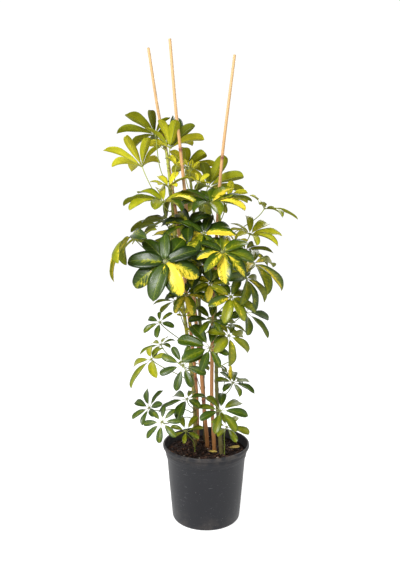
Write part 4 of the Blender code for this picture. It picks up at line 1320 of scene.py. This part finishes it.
def makeTies():
    finish = twinePaint()
    b = tieBuild
    rise = Vector((0, 0, 1))
    for name, (cane, stem, height) in ties.items():
        ends = []
        for member in (cane, stem):
            route, radii = routes[member]
            place, _ = pointAt(route, height)
            ends.append((place, radiusAt(radii, route, height) + b["radius"] + plantingGap))
        across = (ends[1][0] - ends[0][0]).normalized()
        beside = Vector((-across.y, across.x, 0))
        loop = []
        for (place, reach), away in zip(ends, (-across, across)):
            start = beside if away == -across else -beside
            for i in range(b["bendSteps"] + 1):
                turn = pi * i / b["bendSteps"]
                loop.append(place + reach * b["slack"] * (start * cos(turn) + away * sin(turn)))
        loop.append(loop[0])
        lengths = [0]
        for low, high in zip(loop, loop[1:]):
            lengths.append(lengths[-1] + (high - low).length)
        count = round(lengths[-1] / b["twistGap"]) * b["twistSteps"]
        bm = bmesh.new()
        bm.loops.layers.uv.new("UVMap")
        for ply in range(b["plies"]):
            path = []
            for i in range(count + 1):
                want = lengths[-1] * i / count
                k = max(j for j in range(len(lengths) - 1) if lengths[j] <= want + 1e-9)
                share = (want - lengths[k]) / max(lengths[k + 1] - lengths[k], 1e-9)
                place = loop[k].lerp(loop[k + 1], share)
                along = (loop[k + 1] - loop[k]).normalized()
                outward = along.cross(rise)
                turn = 2 * pi * (i / b["twistSteps"]) + 2 * pi * ply / b["plies"]
                offset = b["radius"] * b["plyOffset"]
                path.append(place + (outward * cos(turn) + rise * sin(turn)) * offset)
            sweep(bm, path, [b["radius"] * b["plyRadius"]] * len(path), b["sides"])
        # A knot in front, with two tails
        front = min(loop, key=lambda p: p.y) + Vector((0, -0.0006, 0))
        knot = []
        for i in range(b["knotTurns"] * b["knotSteps"] + 1):
            turn = 2 * pi * i / b["knotSteps"]
            swing = (0.0021 * sin(turn), -0.0012 - 0.0009 * cos(turn), 0.0016 * sin(turn * 1.5))
            knot.append(front + Vector(swing))
        sweep(bm, knot, [b["radius"] * b["knotRadius"]] * len(knot), b["sides"])
        for side in (-1, 1):
            tail, radii = [], []
            for i in range(b["tailSteps"] + 1):
                t = i / b["tailSteps"]
                fall = -b["tail"] * t * t - 0.002 * t
                tail.append(front + Vector((side * (0.001 + 0.007 * t), -0.0016 - 0.001 * t, fall)))
                radii.append(b["radius"] * (b["tailRadius"] - b["tailTaper"] * t))
            sweep(bm, tail, radii, b["sides"])
        addPiece(f"twine_{name}", bm, (finish,), "tie_twine", name)
    print(f"ties: {len(ties)}")


# Studio: a pale floor, soft light and the camera

studio = {
    "floorRadius": 40.0,
    "floorTone": 0.30,
    "floorGlow": 0.90,
    "horizon": 1.05,            # brightness of the sky low down, and overhead
    "overhead": 0.25,
    "fade": (0.46, 0.60),       # sines of the angles between which the one fades to the other
    "lights": {                 # place, what it is aimed at, size and power of each
        "key": ((-1.5, -1.9, 2.6), (0.0, 0.0, 0.70), 1.2, 155),
        "fill": ((2.2, -1.9, 1.2), (0.0, 0.0, 0.60), 1.6, 12),
        "rear": ((0.9, 2.1, 2.3), (0.0, 0.0, 0.80), 1.6, 55),
    },
    "camera": (-0.017, -1.603, 0.849),
    "cameraTilt": 83,
    "focusPixels": 598.6,
    "imageHeight": 570,
}


def makeStudio():
    tone = studio["floorTone"]
    paint = Paint("pale_floor", Base_Color=(tone, tone, tone, 1), Roughness=0.9, Specular_IOR_Level=0.0,
                  Emission_Color=(1, 1, 1, 1), Emission_Strength=studio["floorGlow"])
    bm = bmesh.new()
    bmesh.ops.create_circle(bm, cap_ends=True, segments=96, radius=studio["floorRadius"])
    mesh = asMesh("studio_floor", bm)
    mesh.materials.append(paint.owner)
    floor = bpy.data.objects.new("studio_floor", mesh)
    bpy.context.scene.collection.objects.link(floor)
    sky = Paint("studio_sky", "worlds", "Background", Color=(1, 1, 1, 1))
    rise = sky.axis(sky.node("ShaderNodeTexCoord", {}, {}, "Generated"), "Z")
    low, high = studio["fade"]
    sky.feed("Strength", sky.node("ShaderNodeMapRange", {}, {
        "Value": rise,
        "From Min": low,
        "From Max": high,
        "To Min": studio["horizon"],
        "To Max": studio["overhead"],
    }))
    bpy.context.scene.world = sky.owner
    for name, (place, aim, size, power) in studio["lights"].items():
        light = bpy.data.lights.new(name, "AREA")
        light.size = size
        light.energy = power
        lamp = bpy.data.objects.new(name, light)
        lamp.location = place
        lamp.rotation_euler = (Vector(aim) - Vector(place)).to_track_quat("-Z", "Y").to_euler()
        bpy.context.scene.collection.objects.link(lamp)
    lens = bpy.data.cameras.new("camera")
    lens.sensor_width = 36
    lens.lens = studio["focusPixels"] * lens.sensor_width / studio["imageHeight"]
    camera = bpy.data.objects.new("camera", lens)
    camera.location = studio["camera"]
    camera.rotation_euler = (radians(studio["cameraTilt"]), 0, 0)
    bpy.context.scene.collection.objects.link(camera)
    bpy.context.scene.camera = camera
    bpy.context.scene.view_settings.view_transform = "Standard"
    print("studio")


makeStudio()
makePot()
makeSoil()
makeCanes()
makeStems()
makeTies()
makeShedLeaflets()
makeLeaves()
makeTips()
for template in [bladeShape, hubShape, *templates.values()]:
    bpy.data.meshes.remove(template)
